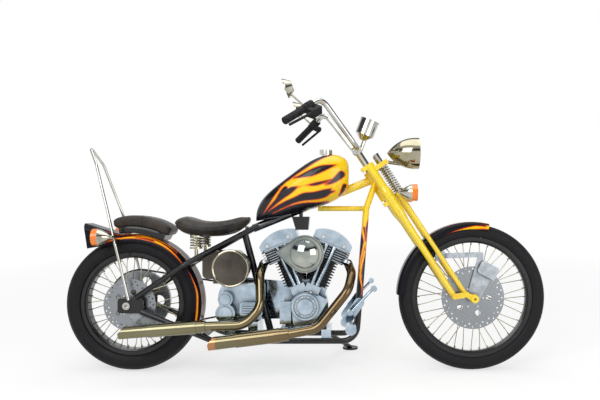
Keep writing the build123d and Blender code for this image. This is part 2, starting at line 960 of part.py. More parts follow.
def fork_rear_legs():
    pivot = Vector(leg_v, 0, leg_foot)
    leg = revolve(Plane.XZ * make_face(Polyline(*leg_profile(), close=True)), Axis.Z)
    shape = rod((0, 0, lower_tree_z), (0, 0, top_tree_z), stem_radius)
    trees = [(top_tree_z, -tree_depth), (lower_tree_z, -tree_depth)]
    for top, rear in trees:
        depth = leg_v + tree_front - rear
        plate = RectangleRounded(depth, 2 * tree_half_width, tree_depth * plate_round_share)
        shape += Pos((leg_v + tree_front + rear) / 2, 0, top - tree_thickness) * extrude(plate, tree_thickness)
    for side in SIDES:
        shape += Pos(leg_v, side * leg_y, 0) * leg
        eye = across(pivot.X, pivot.Z, side * leg_y - leg_foot_radius, side * leg_y + leg_foot_radius, rocker_width / 2)
        shape += eye
    arm_length = bridge_front - leg_v
    for side in SIDES:
        arm = Box(arm_length, bridge_arm_width, bridge_thickness, align=(Align.MIN, Align.CENTER, Align.MAX))
        shape += Pos(leg_v, side * leg_y, bridge_z) * arm
    bar = Box(bridge_depth, 2 * leg_y, bridge_thickness, align=(Align.MAX, Align.CENTER, Align.MAX))
    shape += Pos(bridge_front, 0, bridge_z) * bar
    for side in SIDES:
        rod_hole = rod((spring_v, side * spring_y, bridge_z - bridge_thickness - overrun),
                       (spring_v, side * spring_y, bridge_z + overrun), spring_rod_radius + seat_gap)
        pin_hole = across(pivot.X, pivot.Z, side * (leg_y - leg_foot_radius - overrun),
                          side * (leg_y + leg_foot_radius + overrun), pivot_radius + seat_gap)
        shape = shape - rod_hole - pin_hole
    return shape


def fork_front_legs():
    perch_low = lower_tree_z - perch_thickness / 2
    shape = Pos(perch_v, 0, perch_low) * extrude(
        RectangleRounded(perch_depth, 2 * perch_half_width, perch_depth * plate_round_share), perch_thickness
    )
    for side in SIDES:
        shape += rod((perch_v, side * leg_y, perch_low), (front_leg_foot_v, side * leg_y, front_leg_foot),
                     front_leg_radius)
        eye_low, eye_high = side * leg_y - front_eye_half, side * leg_y + front_eye_half
        shape += across(front_leg_foot_v, front_leg_foot, eye_low, eye_high, front_eye_radius)
    for side in SIDES:
        low, high = side * (leg_y - rocker_width), side * (leg_y + rocker_width)
        shape = shape - across(front_leg_foot_v, front_leg_foot, low, high, pivot_radius + seat_gap)
    return shape


def fork_springs():
    perch_top = lower_tree_z + perch_thickness / 2
    bridge_low = bridge_z - bridge_thickness
    solids = []
    for side in SIDES:
        here = (spring_v, side * spring_y)
        low, high = perch_top + seat_gap, bridge_low - seat_gap
        spring = rod((*here, low), (*here, bridge_z + spring_cover_top), spring_rod_radius)
        spring += rod((*here, low), (*here, low + spring_washer), spring_coil_radius + spring_wire_radius)
        spring += rod((*here, high - spring_washer), (*here, high), spring_coil_radius + spring_wire_radius)
        height = high - low - 2 * spring_washer + spring_wire_radius
        base = (*here, low + spring_washer - spring_wire_radius / 2)
        spring += coil_spring(base, height, spring_coil_radius, spring_wire_radius, spring_pitch)
        cover_low = bridge_z + seat_gap
        spring += rod((*here, cover_low), (*here, cover_low + spring_cover_top), spring_cover_radius)
        solids.append(spring)
    return group(solids)


def fork_rockers():
    pivot, leg, axle = (leg_v, leg_foot), (front_leg_foot_v, front_leg_foot), (axle_v, axle_drop)
    half = rocker_width / 2
    face = belt_loop(pivot, half, leg, half * rocker_waist_share)
    face += belt_loop(leg, half * rocker_waist_share, axle, half)
    inner_y = leg_y + leg_foot_radius + seat_gap
    outer_y = inner_y + rocker_thickness
    shape = across(axle_v, axle_drop, -outer_y - axle_nut_length, outer_y + axle_nut_length, front_axle_radius)
    for side in SIDES:
        shape += side_slab(face, side * inner_y, side * outer_y)
        shape += across(axle_v, axle_drop, side * outer_y, side * (outer_y + axle_nut_length), axle_nut_radius)
        hub_end = front_hub_half_length if side > 0 else front_disc_side + disc_thickness / 2
        shape += across(axle_v, axle_drop, side * (hub_end + seat_gap), side * inner_y, spacer_radius)
        for v, w in (pivot, leg):
            low, high = side * (leg_y - leg_foot_radius), side * (outer_y + pivot_head)
            shape += across(v, w, low, high, pivot_radius)
            shape += across(v, w, side * outer_y, high, pivot_radius + pivot_head)
        bore_start = side * (outer_y + axle_nut_length + overrun)
        bore_end = side * (outer_y + axle_nut_length - axle_bore_depth)
        shape -= across(axle_v, axle_drop, bore_start, bore_end, front_axle_bore_radius)
    return shape


def bar_route(side):
    """The corners of one half of the handlebar, from the middle to the end."""
    return [
        Vector(bar_center_v, 0, bar_center_z),
        Vector(bar_corner_v, side * bar_corner_y, bar_corner_z),
        Vector(bar_top_v, side * bar_top_y, bar_top_z),
        Vector(bar_end_v, side * bar_end_y, bar_end_z),
    ]


def on_bar(side, start, length, radius):
    """A sleeve on the end run of the handlebar, at a distance in from its end."""
    corner, end = bar_route(side)[-2:]
    inward = (corner - end).normalized()
    return rod(end + inward * start, end + inward * (start + length), radius)


def handlebar():
    left, right = bar_route(SIDES[0]), bar_route(SIDES[1])
    shape = bent_rod([*reversed(left[1:]), *right[1:]], bar_radius, bar_bend_radius)
    for side in SIDES:
        y = side * riser_y
        shape += rod((bar_center_v, y, top_tree_z), (bar_center_v, y, bar_corner_z), riser_radius)
        half = riser_clamp_width / 2
        shape += across(bar_center_v, bar_corner_z, y - half, y + half, riser_clamp_radius)
    return shape


def grips():
    solids = []
    for side in SIDES:
        sleeve = on_bar(side, -overrun, grip_length, grip_radius)
        solids.append(sleeve - on_bar(side, 0, grip_length + overrun, bar_radius + seat_gap))
    return group(solids)


def control_frame(side):
    """A frame on the bar beside the grip: z outward along the bar, x forward."""
    corner, end = bar_route(side)[-2:]
    outward = (end - corner).normalized()
    start = end - outward * (grip_length + control_length / 2)
    forward = Vector(cos_rake, 0, -sin_rake)
    return Plane(origin=start, x_dir=forward - outward * forward.dot(outward), z_dir=outward)


def hand_controls():
    solids = []
    for side in SIDES:
        place = control_frame(side)
        housing = on_bar(side, grip_length, control_length, control_radius)
        housing += on_bar(side, grip_length + control_length, switch_length, switch_radius)
        perch = Pos(control_radius, 0, 0) * Box(lever_reach, lever_thickness * 1.5, control_length)
        lever_x = control_radius + lever_reach / 2
        lever = rod((lever_x, 0, 0), (lever_x - lever_thickness, 0, lever_length), lever_thickness / 2)
        housing += place.location * (perch + lever)
        if side < 0:
            box = Box(reservoir_depth, reservoir_height, reservoir_length, align=(Align.CENTER, Align.MAX, Align.MAX))
            housing += place.location * Pos(lever_x / 2, 0, 0) * box
        solids.append(housing - on_bar(side, 0, bar_end_y, bar_radius + seat_gap))
    return group(solids)


def mirrors():
    solids = []
    for side in SIDES:
        place = control_frame(side)
        foot = place.from_local_coords(Vector(0, 0, 0))
        head = Vector(foot.X - mirror_rear, foot.Y, foot.Z + mirror_rise)
        start = foot + Vector(0, 0, control_radius)
        stem = rod(start, head, mirror_stem_radius)
        back = Plane(origin=head, x_dir=(0, 1, 0), z_dir=(mirror_forward, 0, -mirror_down))
        glass_edge = extrude(back * Circle(mirror_radius), mirror_rim)
        dome = Plane(origin=head + back.z_dir * mirror_rim, z_dir=back.z_dir)
        bowl = loft([dome * Circle(mirror_radius), dome.offset(mirror_thickness) * Circle(mirror_radius / 2)])
        solids.append(largest(stem + glass_edge + bowl - on_bar(side, grip_length, control_length, control_radius)))
    return group(solids)


def headlamp():
    """The lamp's shell, hollow behind its lens, with the stem that holds it to the spring bridge."""
    tip = headlamp_x - headlamp_length
    straight = headlamp_x - headlamp_bezel

    def dish(radius, length, back):
        arc = SagittaArc((back, 0), (straight, radius), length)
        edges = [arc, Line((straight, radius), (headlamp_x, radius)), Line((headlamp_x, radius), (headlamp_x, 0)),
                 Line((headlamp_x, 0), (back, 0))]
        return revolve(Plane.XZ * make_face(edges), Axis.X)

    outer = dish(headlamp_radius, headlamp_sagitta, tip)
    inner = dish(headlamp_radius - headlamp_wall, headlamp_sagitta, tip + headlamp_wall)
    foot = fork_to_bike(bridge_front, 0, bridge_z - bridge_thickness / 2)
    stem_top = Vector(headlamp_x - headlamp_stem_back, 0, headlamp_z - headlamp_radius * headlamp_stem_share)
    stem = rod((foot.X, 0, foot.Z), (stem_top.X, 0, stem_top.Z), headlamp_stem_radius)
    place = Pos(0, 0, headlamp_z)
    return place * outer + stem - place * inner - fork_frame * fork_rear_legs()


def headlamp_lens():
    radius = headlamp_radius - headlamp_wall - seat_gap
    back, front = headlamp_x - headlamp_bezel, headlamp_x + headlamp_lens_bulge
    disc = rod((back, 0, headlamp_z), (front, 0, headlamp_z), radius)
    return disc & (Pos(front, 0, headlamp_z) * cap_ball(radius, headlamp_lens_bulge, (1, 0, 0)))


def indicator(direction):
    """A cone-backed indicator about the X axis from its tip, lens towards the given direction."""
    step = indicator_housing
    cone = loft([Plane.YZ * Circle(indicator_stem_radius), Plane.YZ.offset(step / 2) * Circle(indicator_waist),
                 Plane.YZ.offset(step) * Circle(indicator_radius)])
    lens = extrude(Plane.YZ.offset(step) * Circle(indicator_radius), indicator_lens)
    shape = cone + lens
    return shape if direction > 0 else Rot(0, 0, 180) * shape


def front_indicators():
    solids = []
    base = fork_to_bike(perch_v, 0, lower_tree_z)
    for side in SIDES:
        y = side * front_indicator_y
        stalk = across(base.X, base.Z, side * (perch_half_width + seat_gap), y, indicator_stem_radius)
        solids.append(Pos(base.X, y, base.Z) * indicator(1) + stalk)
    return group(solids)


def speedometer():
    """A cylindrical clock with its bracket down to the handlebar risers."""
    place = Plane(origin=(speedo_v, 0, speedo_z), z_dir=(speedo_lean_v, 0, 1))
    body = extrude(place * Circle(speedo_radius), speedo_length)
    body += extrude(place.offset(speedo_length) * Circle(speedo_radius + speedo_bezel), speedo_bezel)
    cup = loft([place * Circle(speedo_radius * speedo_cup_share), place.offset(-speedo_cup) * Circle(stem_radius)])
    foot = (bar_center_v + bar_radius + seat_gap, 0, bar_center_z)
    arm = rod(foot, (speedo_v, 0, speedo_z - speedo_cup / 2), speedo_arm_radius)
    return body + cup + arm - handlebar()


def fender_section(half_width, depth, corner, wall=0.0, floor=0.0):
    """An arch outline with its crown at y = 0, moved in by a wall, open depth below it."""
    w, r, top, low = half_width - wall, corner - wall, -wall, -depth - floor
    k = r * (1 - math.cos(math.radians(45)))
    edges = [
        Line((-w, low), (-w, top - r)),
        ThreePointArc((-w, top - r), (-w + k, top - k), (-w + r, top)),
        Line((-w + r, top), (w - r, top)),
        ThreePointArc((w - r, top), (w - k, top - k), (w, top - r)),
        Line((w, top - r), (w, low)),
        Line((w, low), (-w, low)),
    ]
    return make_face(edges)


def radial_plane(center, angle, radius):
    """A plane across a fender at an angle round its wheel: x along -Y or +Y, y outward."""
    spot = center + ray(angle, radius)
    out = ray(angle, 1.0)
    return Plane(origin=spot, x_dir=(0, 1, 0), z_dir=Vector(0, 1, 0).cross(out))


def fender_arc(center, radius, start, end, section):
    """A fender's shell round its wheel from one angle to another."""
    plane = radial_plane(center, start, radius)
    face = plane * section
    axis = Axis((center.X, 0, center.Z), (0, -1, 0))
    return revolve(face, axis, end - start)


def front_fender():
    outer_radius = front_tyre_radius + front_fender_gap + fender_wall
    width, side_depth, corner = front_fender_half_width, front_fender_side, front_fender_round
    outer = fender_section(width, side_depth, corner)
    inner = fender_section(width, side_depth, corner, fender_wall, overrun)
    shell = fender_arc(front_axle, outer_radius, front_fender_start, front_fender_end, outer - inner)
    tab_r = outer_radius - side_depth + fender_tab_radius + overrun
    for side in SIDES:
        for v in (leg_v, front_tab_v):
            drop = math.sqrt(tab_r**2 - (axle_v - v) ** 2)
            spot = fork_to_bike(v, 0, axle_drop + drop)
            shell += across(spot.X, spot.Z, side * (width - fender_wall), side * leg_y, fender_tab_radius)
    return shell - fork_frame * fork_rear_legs() - fork_frame * fork_front_legs()


def front_caliper():
    """The front caliper on its plate round the axle, with the link that holds it to the front leg."""
    plate_y = -front_disc_side - caliper_plate_gap
    outer_y = plate_y - caliper_plate_thickness
    body_at = front_axle + ray(front_caliper_angle, disc_radius)
    link_at = front_axle + ray(front_link_angle, front_link_radius)
    plate = belt_loop((front_axle.X, front_axle.Z), caliper_eye_radius, (link_at.X, link_at.Z), caliper_link_radius)
    plate += belt_loop((front_axle.X, front_axle.Z), caliper_eye_radius, (body_at.X, body_at.Z), caliper_body_height / 2)
    shape = side_slab(plate, plate_y, outer_y)
    shape += caliper_block(body_at, front_caliper_angle, -front_disc_side, outer_y, disc_radius)
    leg_at = fork_to_bike(front_link_leg_v, 0, front_link_leg_w)
    link = belt_loop((leg_at.X, leg_at.Z), caliper_link_radius, (link_at.X, link_at.Z), caliper_link_radius)
    shape += side_slab(link, plate_y, outer_y)
    shape += side_slab(Pos(leg_at.X, leg_at.Z) * Rectangle(caliper_anchor, caliper_anchor), plate_y, -leg_y)
    shape -= across(front_axle.X, front_axle.Z, 0, -leg_y, spacer_radius + seat_gap)
    return shape - fork_frame * fork_front_legs()


def caliper_block(spot, angle, disc_y, outer_y, edge_radius):
    """A caliper straddling the edge of a disc, which it clears on both faces and at its rim."""
    inner_y = disc_y + disc_thickness / 2 + caliper_disc_gap + caliper_pad_wall
    face = Pos(spot.X, spot.Z) * Rot(0, 0, angle) * RectangleRounded(
        caliper_body_height, caliper_body_width, caliper_body_height * caliper_round_share
    )
    body = side_slab(face, inner_y, outer_y - caliper_pad_wall)
    center = spot - ray(angle, edge_radius)
    half_slot = disc_thickness / 2 + caliper_disc_gap
    slot = across(center.X, center.Z, disc_y - half_slot, disc_y + half_slot, edge_radius + caliper_disc_gap)
    return body - slot


# Rear fender, sissy bar, lamps, seats and tank


def rear_fender():
    radius = rear_tyre_radius + rear_fender_gap + fender_wall
    width, depth, corner = rear_fender_half_width, rear_fender_side, rear_fender_round
    outer = fender_section(width, depth, corner)
    inner = fender_section(width, depth, corner, fender_wall, overrun)
    shell = fender_arc(rear_axle, radius, rear_fender_start, rear_fender_end, outer - inner)
    join = radial_plane(rear_axle, rear_fender_end, radius)
    lip = Plane(origin=(tail_x, 0, tail_z), x_dir=(0, 1, 0), z_dir=Vector(0, 1, 0).cross(Vector(-tail_tilt, 0, 1)))

    def tail(wall, floor):
        start = join * fender_section(width, depth, corner, wall, floor)
        finish = lip * fender_section(width, tail_side, corner, wall, floor)
        return loft([start, finish], ruled=True)

    shell += largest(tail(0.0, 0.0) - tail(fender_wall, overrun))
    for side in SIDES:
        edge = side * (width - fender_wall)
        shell += across(sissy_stay_x, sissy_stay_z, edge, side * (sissy_y - sissy_radius), fender_tab_radius)
    front = rear_axle + ray(rear_fender_bolt_angle, radius)
    shell += across(front.X + fender_tab_radius, front.Z, -stay_y, stay_y, fender_tab_radius)
    for side in SIDES:
        shell = shell - stay(side)
    return largest(shell - sissy_bar())


def sissy_bar():
    right = [
        (sissy_foot_x, sissy_y, sissy_foot_z),
        (sissy_knee_x, sissy_y, sissy_knee_z),
        (sissy_mid_x, sissy_mid_y, sissy_mid_z),
        (sissy_neck_x, sissy_neck_y, sissy_neck_z),
    ]
    left = [(x, -y, z) for x, y, z in right]
    points = [*right, (sissy_tip_x, 0, sissy_tip_z), *reversed(left)]
    bends = [sissy_bend, sissy_bend, sissy_bend, sissy_tip_bend, sissy_bend, sissy_bend, sissy_bend]
    return bent_rod(points, sissy_radius, bends)


def rear_indicators():
    solids = []
    for side in SIDES:
        y = side * rear_indicator_y
        lamp = Pos(rear_indicator_x, y, rear_indicator_z) * indicator(-1)
        inner = side * (sissy_y - sissy_radius)
        lamp += across(rear_indicator_x, rear_indicator_z, inner, y, indicator_stem_radius)
        solids.append(largest(lamp - sissy_bar()))
    return group(solids)


def tail_lamp():
    top = tail_z - tail_drop
    lamp = Pos(tail_x + tail_lamp_depth, 0, top) * Box(
        tail_lamp_depth, tail_lamp_width, tail_lamp_height, align=(Align.CENTER, Align.CENTER, Align.MAX)
    )
    lamp = fillet(lamp.edges().filter_by(Axis.X), tail_lamp_height * plate_round_share)
    stem = rod((tail_x + tail_lamp_depth, 0, top - overrun), (tail_x + tail_lamp_depth, 0, tail_z + tail_drop),
               indicator_stem_radius)
    return largest(lamp + stem - fender)


def pillion_pad():
    """A rounded pad bent round the crown of the rear fender, on a thin base with posts."""
    plane = radial_plane(rear_axle, pad_start, pad_inner_radius)
    face = Pos(0, pad_thickness / 2) * RectangleRounded(2 * pad_half_width, pad_thickness, pad_thickness * pad_round_share)
    axis = Axis((rear_axle.X, 0, rear_axle.Z), (0, -1, 0))
    pad = revolve(plane * face, axis, pad_end - pad_start)
    fender_top = rear_tyre_radius + rear_fender_gap + fender_wall + seat_gap
    for angle in (pad_start + pad_post_inset, pad_end - pad_post_inset):
        pad += rod(rear_axle + ray(angle, fender_top), rear_axle + ray(angle, pad_inner_radius + overrun), pad_post_radius)
    return pad


def lofted(table, length, rear_x, half_width, low_z, height, round_share):
    """A form lofted forward through a table of shares: x, half width, low, high."""
    sections = []
    for x, y, low, high in table:
        plane = Plane(origin=(rear_x + x * length, 0, low_z + (low + high) / 2 * height), x_dir=(0, 1, 0),
                      z_dir=(1, 0, 0))
        tall, wide = (high - low) * height, 2 * y * half_width
        sections.append(plane * RectangleRounded(wide, tall, min(tall, wide) * round_share))
    return loft(sections)


# Shares: x along the seat, half width, underside, top
seat_shares = [
    (0.00, 0.62, 0.66, 0.94),
    (0.16, 0.94, 0.25, 1.00),
    (0.40, 1.00, 0.02, 0.84),
    (0.66, 0.82, 0.02, 0.80),
    (0.86, 0.46, 0.36, 0.86),
    (1.00, 0.24, 0.68, 0.98),
]

# Shares: x along the tank, half width, underside, top
tank_shares = [
    (0.00, 0.22, 0.00, 0.06),
    (0.14, 0.68, 0.03, 0.43),
    (0.46, 1.00, 0.13, 0.78),
    (0.82, 0.96, 0.30, 1.00),
    (0.96, 0.72, 0.44, 0.94),
    (1.00, 0.42, 0.58, 0.82),
]


def rider_seat():
    length = seat_front_x - seat_rear_x
    seat = lofted(seat_shares, length, seat_rear_x, seat_half_width, seat_low_z, seat_height, seat_round_share)
    return seat


def seat_springs():
    solids = []
    wire = seat_spring_wire
    for side in SIDES:
        here = (seat_spring_x, side * seat_spring_y)
        low, high = seat_spring_low, seat_low_z + seat_spring_sink
        spring = rod((*here, low - seat_spring_post), (*here, low + wire), pad_post_radius)
        spring += rod((*here, low - wire), (*here, low + wire), seat_spring_radius + wire)
        spring += rod((*here, high - wire), (*here, high + wire), seat_spring_radius + wire)
        spring += coil_spring((*here, low + wire / 2), high - low - wire, seat_spring_radius, wire, seat_spring_pitch)
        spring += rod((*here, low), (*here, high), wire)
        solids.append(largest(spring - stay(side) - rider_seat()))
    nose = rod((seat_nose_x, 0, seat_nose_low), (seat_nose_x, 0, seat_low_z + seat_height / 2), pad_post_radius)
    nose = nose - frame["frame_seat_post"] - frame["frame_spine"] - rider_seat()
    for tube in frame["frame_stays"].solids():
        nose = nose - tube
    return group([*solids, largest(nose)])


def fuel_tank():
    length = tank_front_x - tank_rear_x
    tank = lofted(tank_shares, length, tank_rear_x, tank_half_width, tank_base_z, tank_height, tank_round_share)
    head = fork_to_bike(0, 0, -backbone_front_u)
    gap = backbone_radius + tank_tunnel_gap
    tunnel = outline(
        (backbone_rear_x, backbone_rear_z + gap), (head.X, head.Z + gap), (head.X, tank_base_z - tank_height),
        (backbone_rear_x, tank_base_z - tank_height),
    )
    return largest(tank - side_slab(tunnel, -tunnel_half_width, tunnel_half_width))


def fuel_cap():
    low = (tank_cap_x, tank_cap_y, tank_base_z + tank_height / 2)
    high = (tank_cap_x, tank_cap_y, tank_base_z + tank_height + tank_cap_height)
    neck = rod(low, high, tank_cap_radius * cap_neck_share) + rod(
        (tank_cap_x, tank_cap_y, tank_base_z + tank_height + seat_gap), high, tank_cap_radius
    )
    return largest(neck - fuel_tank())


# Engine


def cylinder_frame(side):
    """The frame of one cylinder: z up its bore from the crank, side 1 in front and -1 behind."""
    return Pos(crank_x, 0, crank_z) * Rot(0, side * vee_half_angle, 0)


def vee_half(side):
    """The half of the engine's room that belongs to one cylinder."""
    size = 2 * (case_deck + cylinder_height + head_height + rocker_height)
    align = Align.MIN if side > 0 else Align.MAX
    return Pos(crank_x + side * vee_gap, 0, crank_z) * Box(size, size, size, align=(align, Align.CENTER, Align.CENTER))


def pushrod_ends(side, which):
    """The foot and top of a pushrod tube in its cylinder's frame, y towards the right."""
    foot = Vector(which * pushrod_foot_spread, -pushrod_foot_y, case_deck - lifter_drop + lifter_height)
    top = Vector(which * pushrod_top_spread, -pushrod_top_y, case_deck + cylinder_height + head_height)
    return foot, top


def pushrod_tubes():
    solids = []
    for side in SIDES:
        for which in SIDES:
            foot, top = pushrod_ends(side, which)
            along = (top - foot).normalized()
            tube = rod(foot, top, pushrod_radius)
            tube += rod(foot, foot + along * pushrod_cup, pushrod_radius + pushrod_lip)
            tube += rod(top - along * pushrod_cup, top, pushrod_radius + pushrod_lip)
            floor = Box(overrun * pushrod_cup, overrun * pushrod_cup, pushrod_cup,
                        align=(Align.CENTER, Align.CENTER, Align.MAX))
            lid = Box(overrun * pushrod_cup, overrun * pushrod_cup, pushrod_cup,
                      align=(Align.CENTER, Align.CENTER, Align.MIN))
            tube = tube - Pos(*foot) * floor - Pos(*top) * lid
            solids.append(cylinder_frame(side) * tube)
    return group(solids)


def pushrod_room(side):
    """The room that the pushrod tubes need beside a cylinder."""
    room = []
    for which in SIDES:
        foot, top = pushrod_ends(side, which)
        room.append(cylinder_frame(side) * rod(foot, top, pushrod_radius + pushrod_lip + seat_gap))
    return room


def crankcase():
    round_face = Pos(crank_x, crank_z) * Circle(case_radius)
    half_sump = sump_half_width
    for side in SIDES:
        wedge = Rectangle(2 * case_deck_half, case_deck, align=(Align.CENTER, Align.MIN))
        round_face += Pos(crank_x, crank_z) * Rot(0, 0, -side * vee_half_angle) * wedge
    sump = Rectangle(2 * half_sump, sump_bottom, align=(Align.CENTER, Align.MAX))
    case = side_slab(round_face, -case_half_width, case_half_width)
    case += side_slab(Pos(crank_x, crank_z) * sump, -case_half_width * sump_share, case_half_width * sump_share)
    mount_top = crank_z - sump_bottom + mount_rise
    for side in SIDES:
        x = crank_x + side * half_sump
        low = rail_z + tube_radius + seat_gap
        case += Pos(x, 0, low) * Box(2 * mount_half, 2 * rail_y, mount_top - low, align=(Align.CENTER, Align.CENTER, Align.MIN))
        lifter = Box(2 * lifter_width, lifter_depth, lifter_height, align=(Align.CENTER, Align.MAX, Align.MIN))
        case += cylinder_frame(side) * Pos(0, -case_half_width + overrun, case_deck - lifter_drop) * lifter
    pump = Box(oil_pump_width, oil_pump_depth + overrun, oil_pump_height, align=(Align.CENTER, Align.MAX, Align.CENTER))
    case += Pos(crank_x - oil_pump_back, -case_half_width + overrun, crank_z - oil_pump_drop) * pump
    return case


def cam_cover():
    """The pear-shaped cover on the right of the crankcase, stepped up to its round timer cover."""
    points = [(x * cam_cover_radius, z * cam_cover_radius) for x, z in cam_foot_shares]
    face = Circle(cam_cover_radius * cam_round_share) + make_face(Polyline(*points, close=True))
    inner_y = -case_half_width - seat_gap
    outer_y = inner_y - cam_cover_depth
    cover = side_slab(Pos(crank_x, crank_z) * face, inner_y, outer_y)
    for radius, proud in ((timer_ring_radius, timer_depth / 2), (timer_radius, timer_depth)):
        cover += across(crank_x, crank_z, outer_y, outer_y - proud, radius)
    ring = across(crank_x, crank_z, outer_y - timer_depth / 2, outer_y - timer_depth, timer_ring_radius)
    ring -= across(crank_x, crank_z, outer_y - timer_depth / 2, outer_y - timer_depth, timer_ring_radius - timer_lip)
    cover += ring
    for side in SIDES:
        lifter_box = Box(2 * (lifter_width + seat_gap), 2 * cam_cover_depth, lifter_height, align=(Align.CENTER, Align.CENTER, Align.MIN))
        cover = cover - cylinder_frame(side) * Pos(0, outer_y, case_deck - lifter_drop - seat_gap) * lifter_box
    cover = cover - Pos(crank_x - oil_pump_back, outer_y, crank_z - oil_pump_drop) * Box(
        oil_pump_width + 2 * seat_gap, 2 * cam_cover_depth, oil_pump_height + 2 * seat_gap
    )
    return largest(cover)


# Shares of the cam cover's radius: the outline of its foot, x forward and z up from the crank
cam_foot_shares = [(-0.78, 0.30), (0.30, 0.86), (1.24, 0.34), (0.46, -1.02), (-0.66, -1.02)]


def barrels():
    """The finned cylinders, each cut back along the middle of the vee and round its pushrod tubes."""
    solids = []
    for side in SIDES:
        low, high = case_deck + seat_gap, case_deck + cylinder_height
        barrel = rod((0, 0, low), (0, 0, high), cylinder_radius)
        pitch = (cylinder_height - fin_thickness) / fin_count
        for k in range(fin_count):
            z = low + (k + 1 / 2) * pitch
            barrel += rod((0, 0, z), (0, 0, z + fin_thickness), fin_radius)
        barrel = (cylinder_frame(side) * barrel) & vee_half(side)
        for room in pushrod_room(side):
            barrel = barrel - room
        solids.append(largest(barrel - case))
    return group(solids)


def head_plate(length, width, low, thickness):
    plate = RectangleRounded(length, width, head_round)
    return Pos(0, 0, low) * extrude(plate, thickness)


def heads():
    solids = []
    for side in SIDES:
        low = case_deck + cylinder_height + seat_gap
        inset = 2 * head_fin_depth
        length, width = 2 * head_half_length, 2 * head_half_width
        head = head_plate(length - inset, width - inset, low, head_height - seat_gap)
        pitch = head_height / (head_fin_count + 1)
        for k in range(head_fin_count):
            head += head_plate(length, width, low + (k + 1 / 2) * pitch, fin_thickness)
        head += head_plate(length, width, low + head_height - seat_gap - pitch / 2, pitch / 2)
        port = side * (exhaust_port_out - head_shift)
        head += rod((port, -head_half_width + head_fin_depth, low + exhaust_port_rise),
                    (port, -exhaust_port_end, low + exhaust_port_rise - exhaust_port_dip), exhaust_port_radius)
        head = cylinder_frame(side) * Pos(side * head_shift, 0, 0) * head
        for room in pushrod_room(side):
            head = head - room
        solids.append(largest(head & vee_half(side)))
    return group(solids)


def rocker_boxes():
    """The rocker covers: highest towards the vee, bowed on top, tapering to their outer ends."""
    solids = []
    low = case_deck + cylinder_height + head_height + seat_gap
    for side in SIDES:
        inner, outer = -side * rocker_half_length * rocker_inner_share, side * rocker_half_length
        edges = [
            Line((inner, low), (outer, low)),
            Line((outer, low), (outer, low + rocker_end_height)),
            ThreePointArc((outer, low + rocker_end_height), (outer / 4, low + rocker_height),
                          (inner, low + rocker_inner_height)),
            Line((inner, low + rocker_inner_height), (inner, low)),
        ]
        box = side_slab(make_face(edges), -rocker_half_width, rocker_half_width)
        top = box.edges().filter_by(Axis.Y).sort_by(Axis.Z)[-2:]
        box = fillet(top, rocker_round)
        flange = head_plate(2 * rocker_half_length * rocker_inner_share, 2 * rocker_half_width + 2 * rocker_flange, low,
                            rocker_flange)
        solids.append(cylinder_frame(side) * (box + flange))
    return group(solids)


def carburettor():
    y = -carb_inner_y
    barrel = across(crank_x, cleaner_z, y, -cleaner_y + seat_gap, carb_radius)
    bowl = rod((crank_x, y - carb_radius, cleaner_z), (crank_x, y - carb_radius, cleaner_z - carb_bowl_drop),
               carb_radius * carb_bowl_share)
    stub = across(crank_x, cleaner_z - manifold_drop, y, 0, manifold_radius)
    body = barrel + stub
    for piece in engine["cylinder_heads"].solids():
        body = body - piece
    for piece in engine["cylinders"].solids():
        body = body - piece
    return largest(body)


def air_cleaner():
    """A teardrop backing dish with a bowed edge and a domed round cover."""
    center, tip = (crank_x, cleaner_z), (crank_x - cleaner_tail, cleaner_z + cleaner_tail_rise)
    face = belt_loop(center, cleaner_radius, tip, cleaner_tip_radius)
    dish = side_slab(face, -cleaner_y, -cleaner_y - cleaner_depth * cleaner_edge_share)
    small = belt_loop(center, cleaner_radius - cleaner_chamfer, tip, cleaner_tip_radius / 2)
    edge_y = -cleaner_y - cleaner_depth * cleaner_edge_share
    dish += side_slab(small, edge_y, edge_y - cleaner_chamfer)
    dome_y = edge_y - cleaner_chamfer
    dome_r = cleaner_radius * cleaner_dome_share
    top_y = dome_y - cleaner_dome
    disc = across(crank_x, cleaner_z, dome_y + overrun, top_y, dome_r)
    dome = disc & (Pos(crank_x, top_y, cleaner_z) * cap_ball(dome_r, cleaner_dome - cleaner_chamfer, (0, -1, 0)))
    return dish + dome


def coil():
    half_top, half_low = coil_width / 2, coil_width * coil_foot_share / 2
    top, low = coil_z + coil_height / 2, coil_z - coil_height / 2
    x = crank_x - coil_back
    face = outline((x - half_top, top), (x + half_top, top), (x + half_low + coil_back / 2, low), (x - half_low, low))
    block = side_slab(face, -coil_depth / 2, coil_depth / 2)
    hanger = rod((x, 0, coil_z), (x, 0, coil_z + tank_height), coil_hanger_radius)
    shape = largest(hanger - spine_room(x)) + block - frame["frame_spine"]
    for cover in covers.solids():
        shape = shape - cover
    return largest(shape)


def spine_room(x):
    """Everything from the middle of the backbone up, above a place along it."""
    head = fork_to_bike(0, 0, -backbone_front_u)
    slope = (head.Z - backbone_rear_z) / (head.X - backbone_rear_x)
    z = backbone_rear_z + (x - backbone_rear_x) * slope
    return Pos(x, 0, z) * Box(coil_width, coil_width, tank_height * 2, align=(Align.CENTER, Align.CENTER, Align.MIN))


# Gearbox, primary drive, belt and oil tank


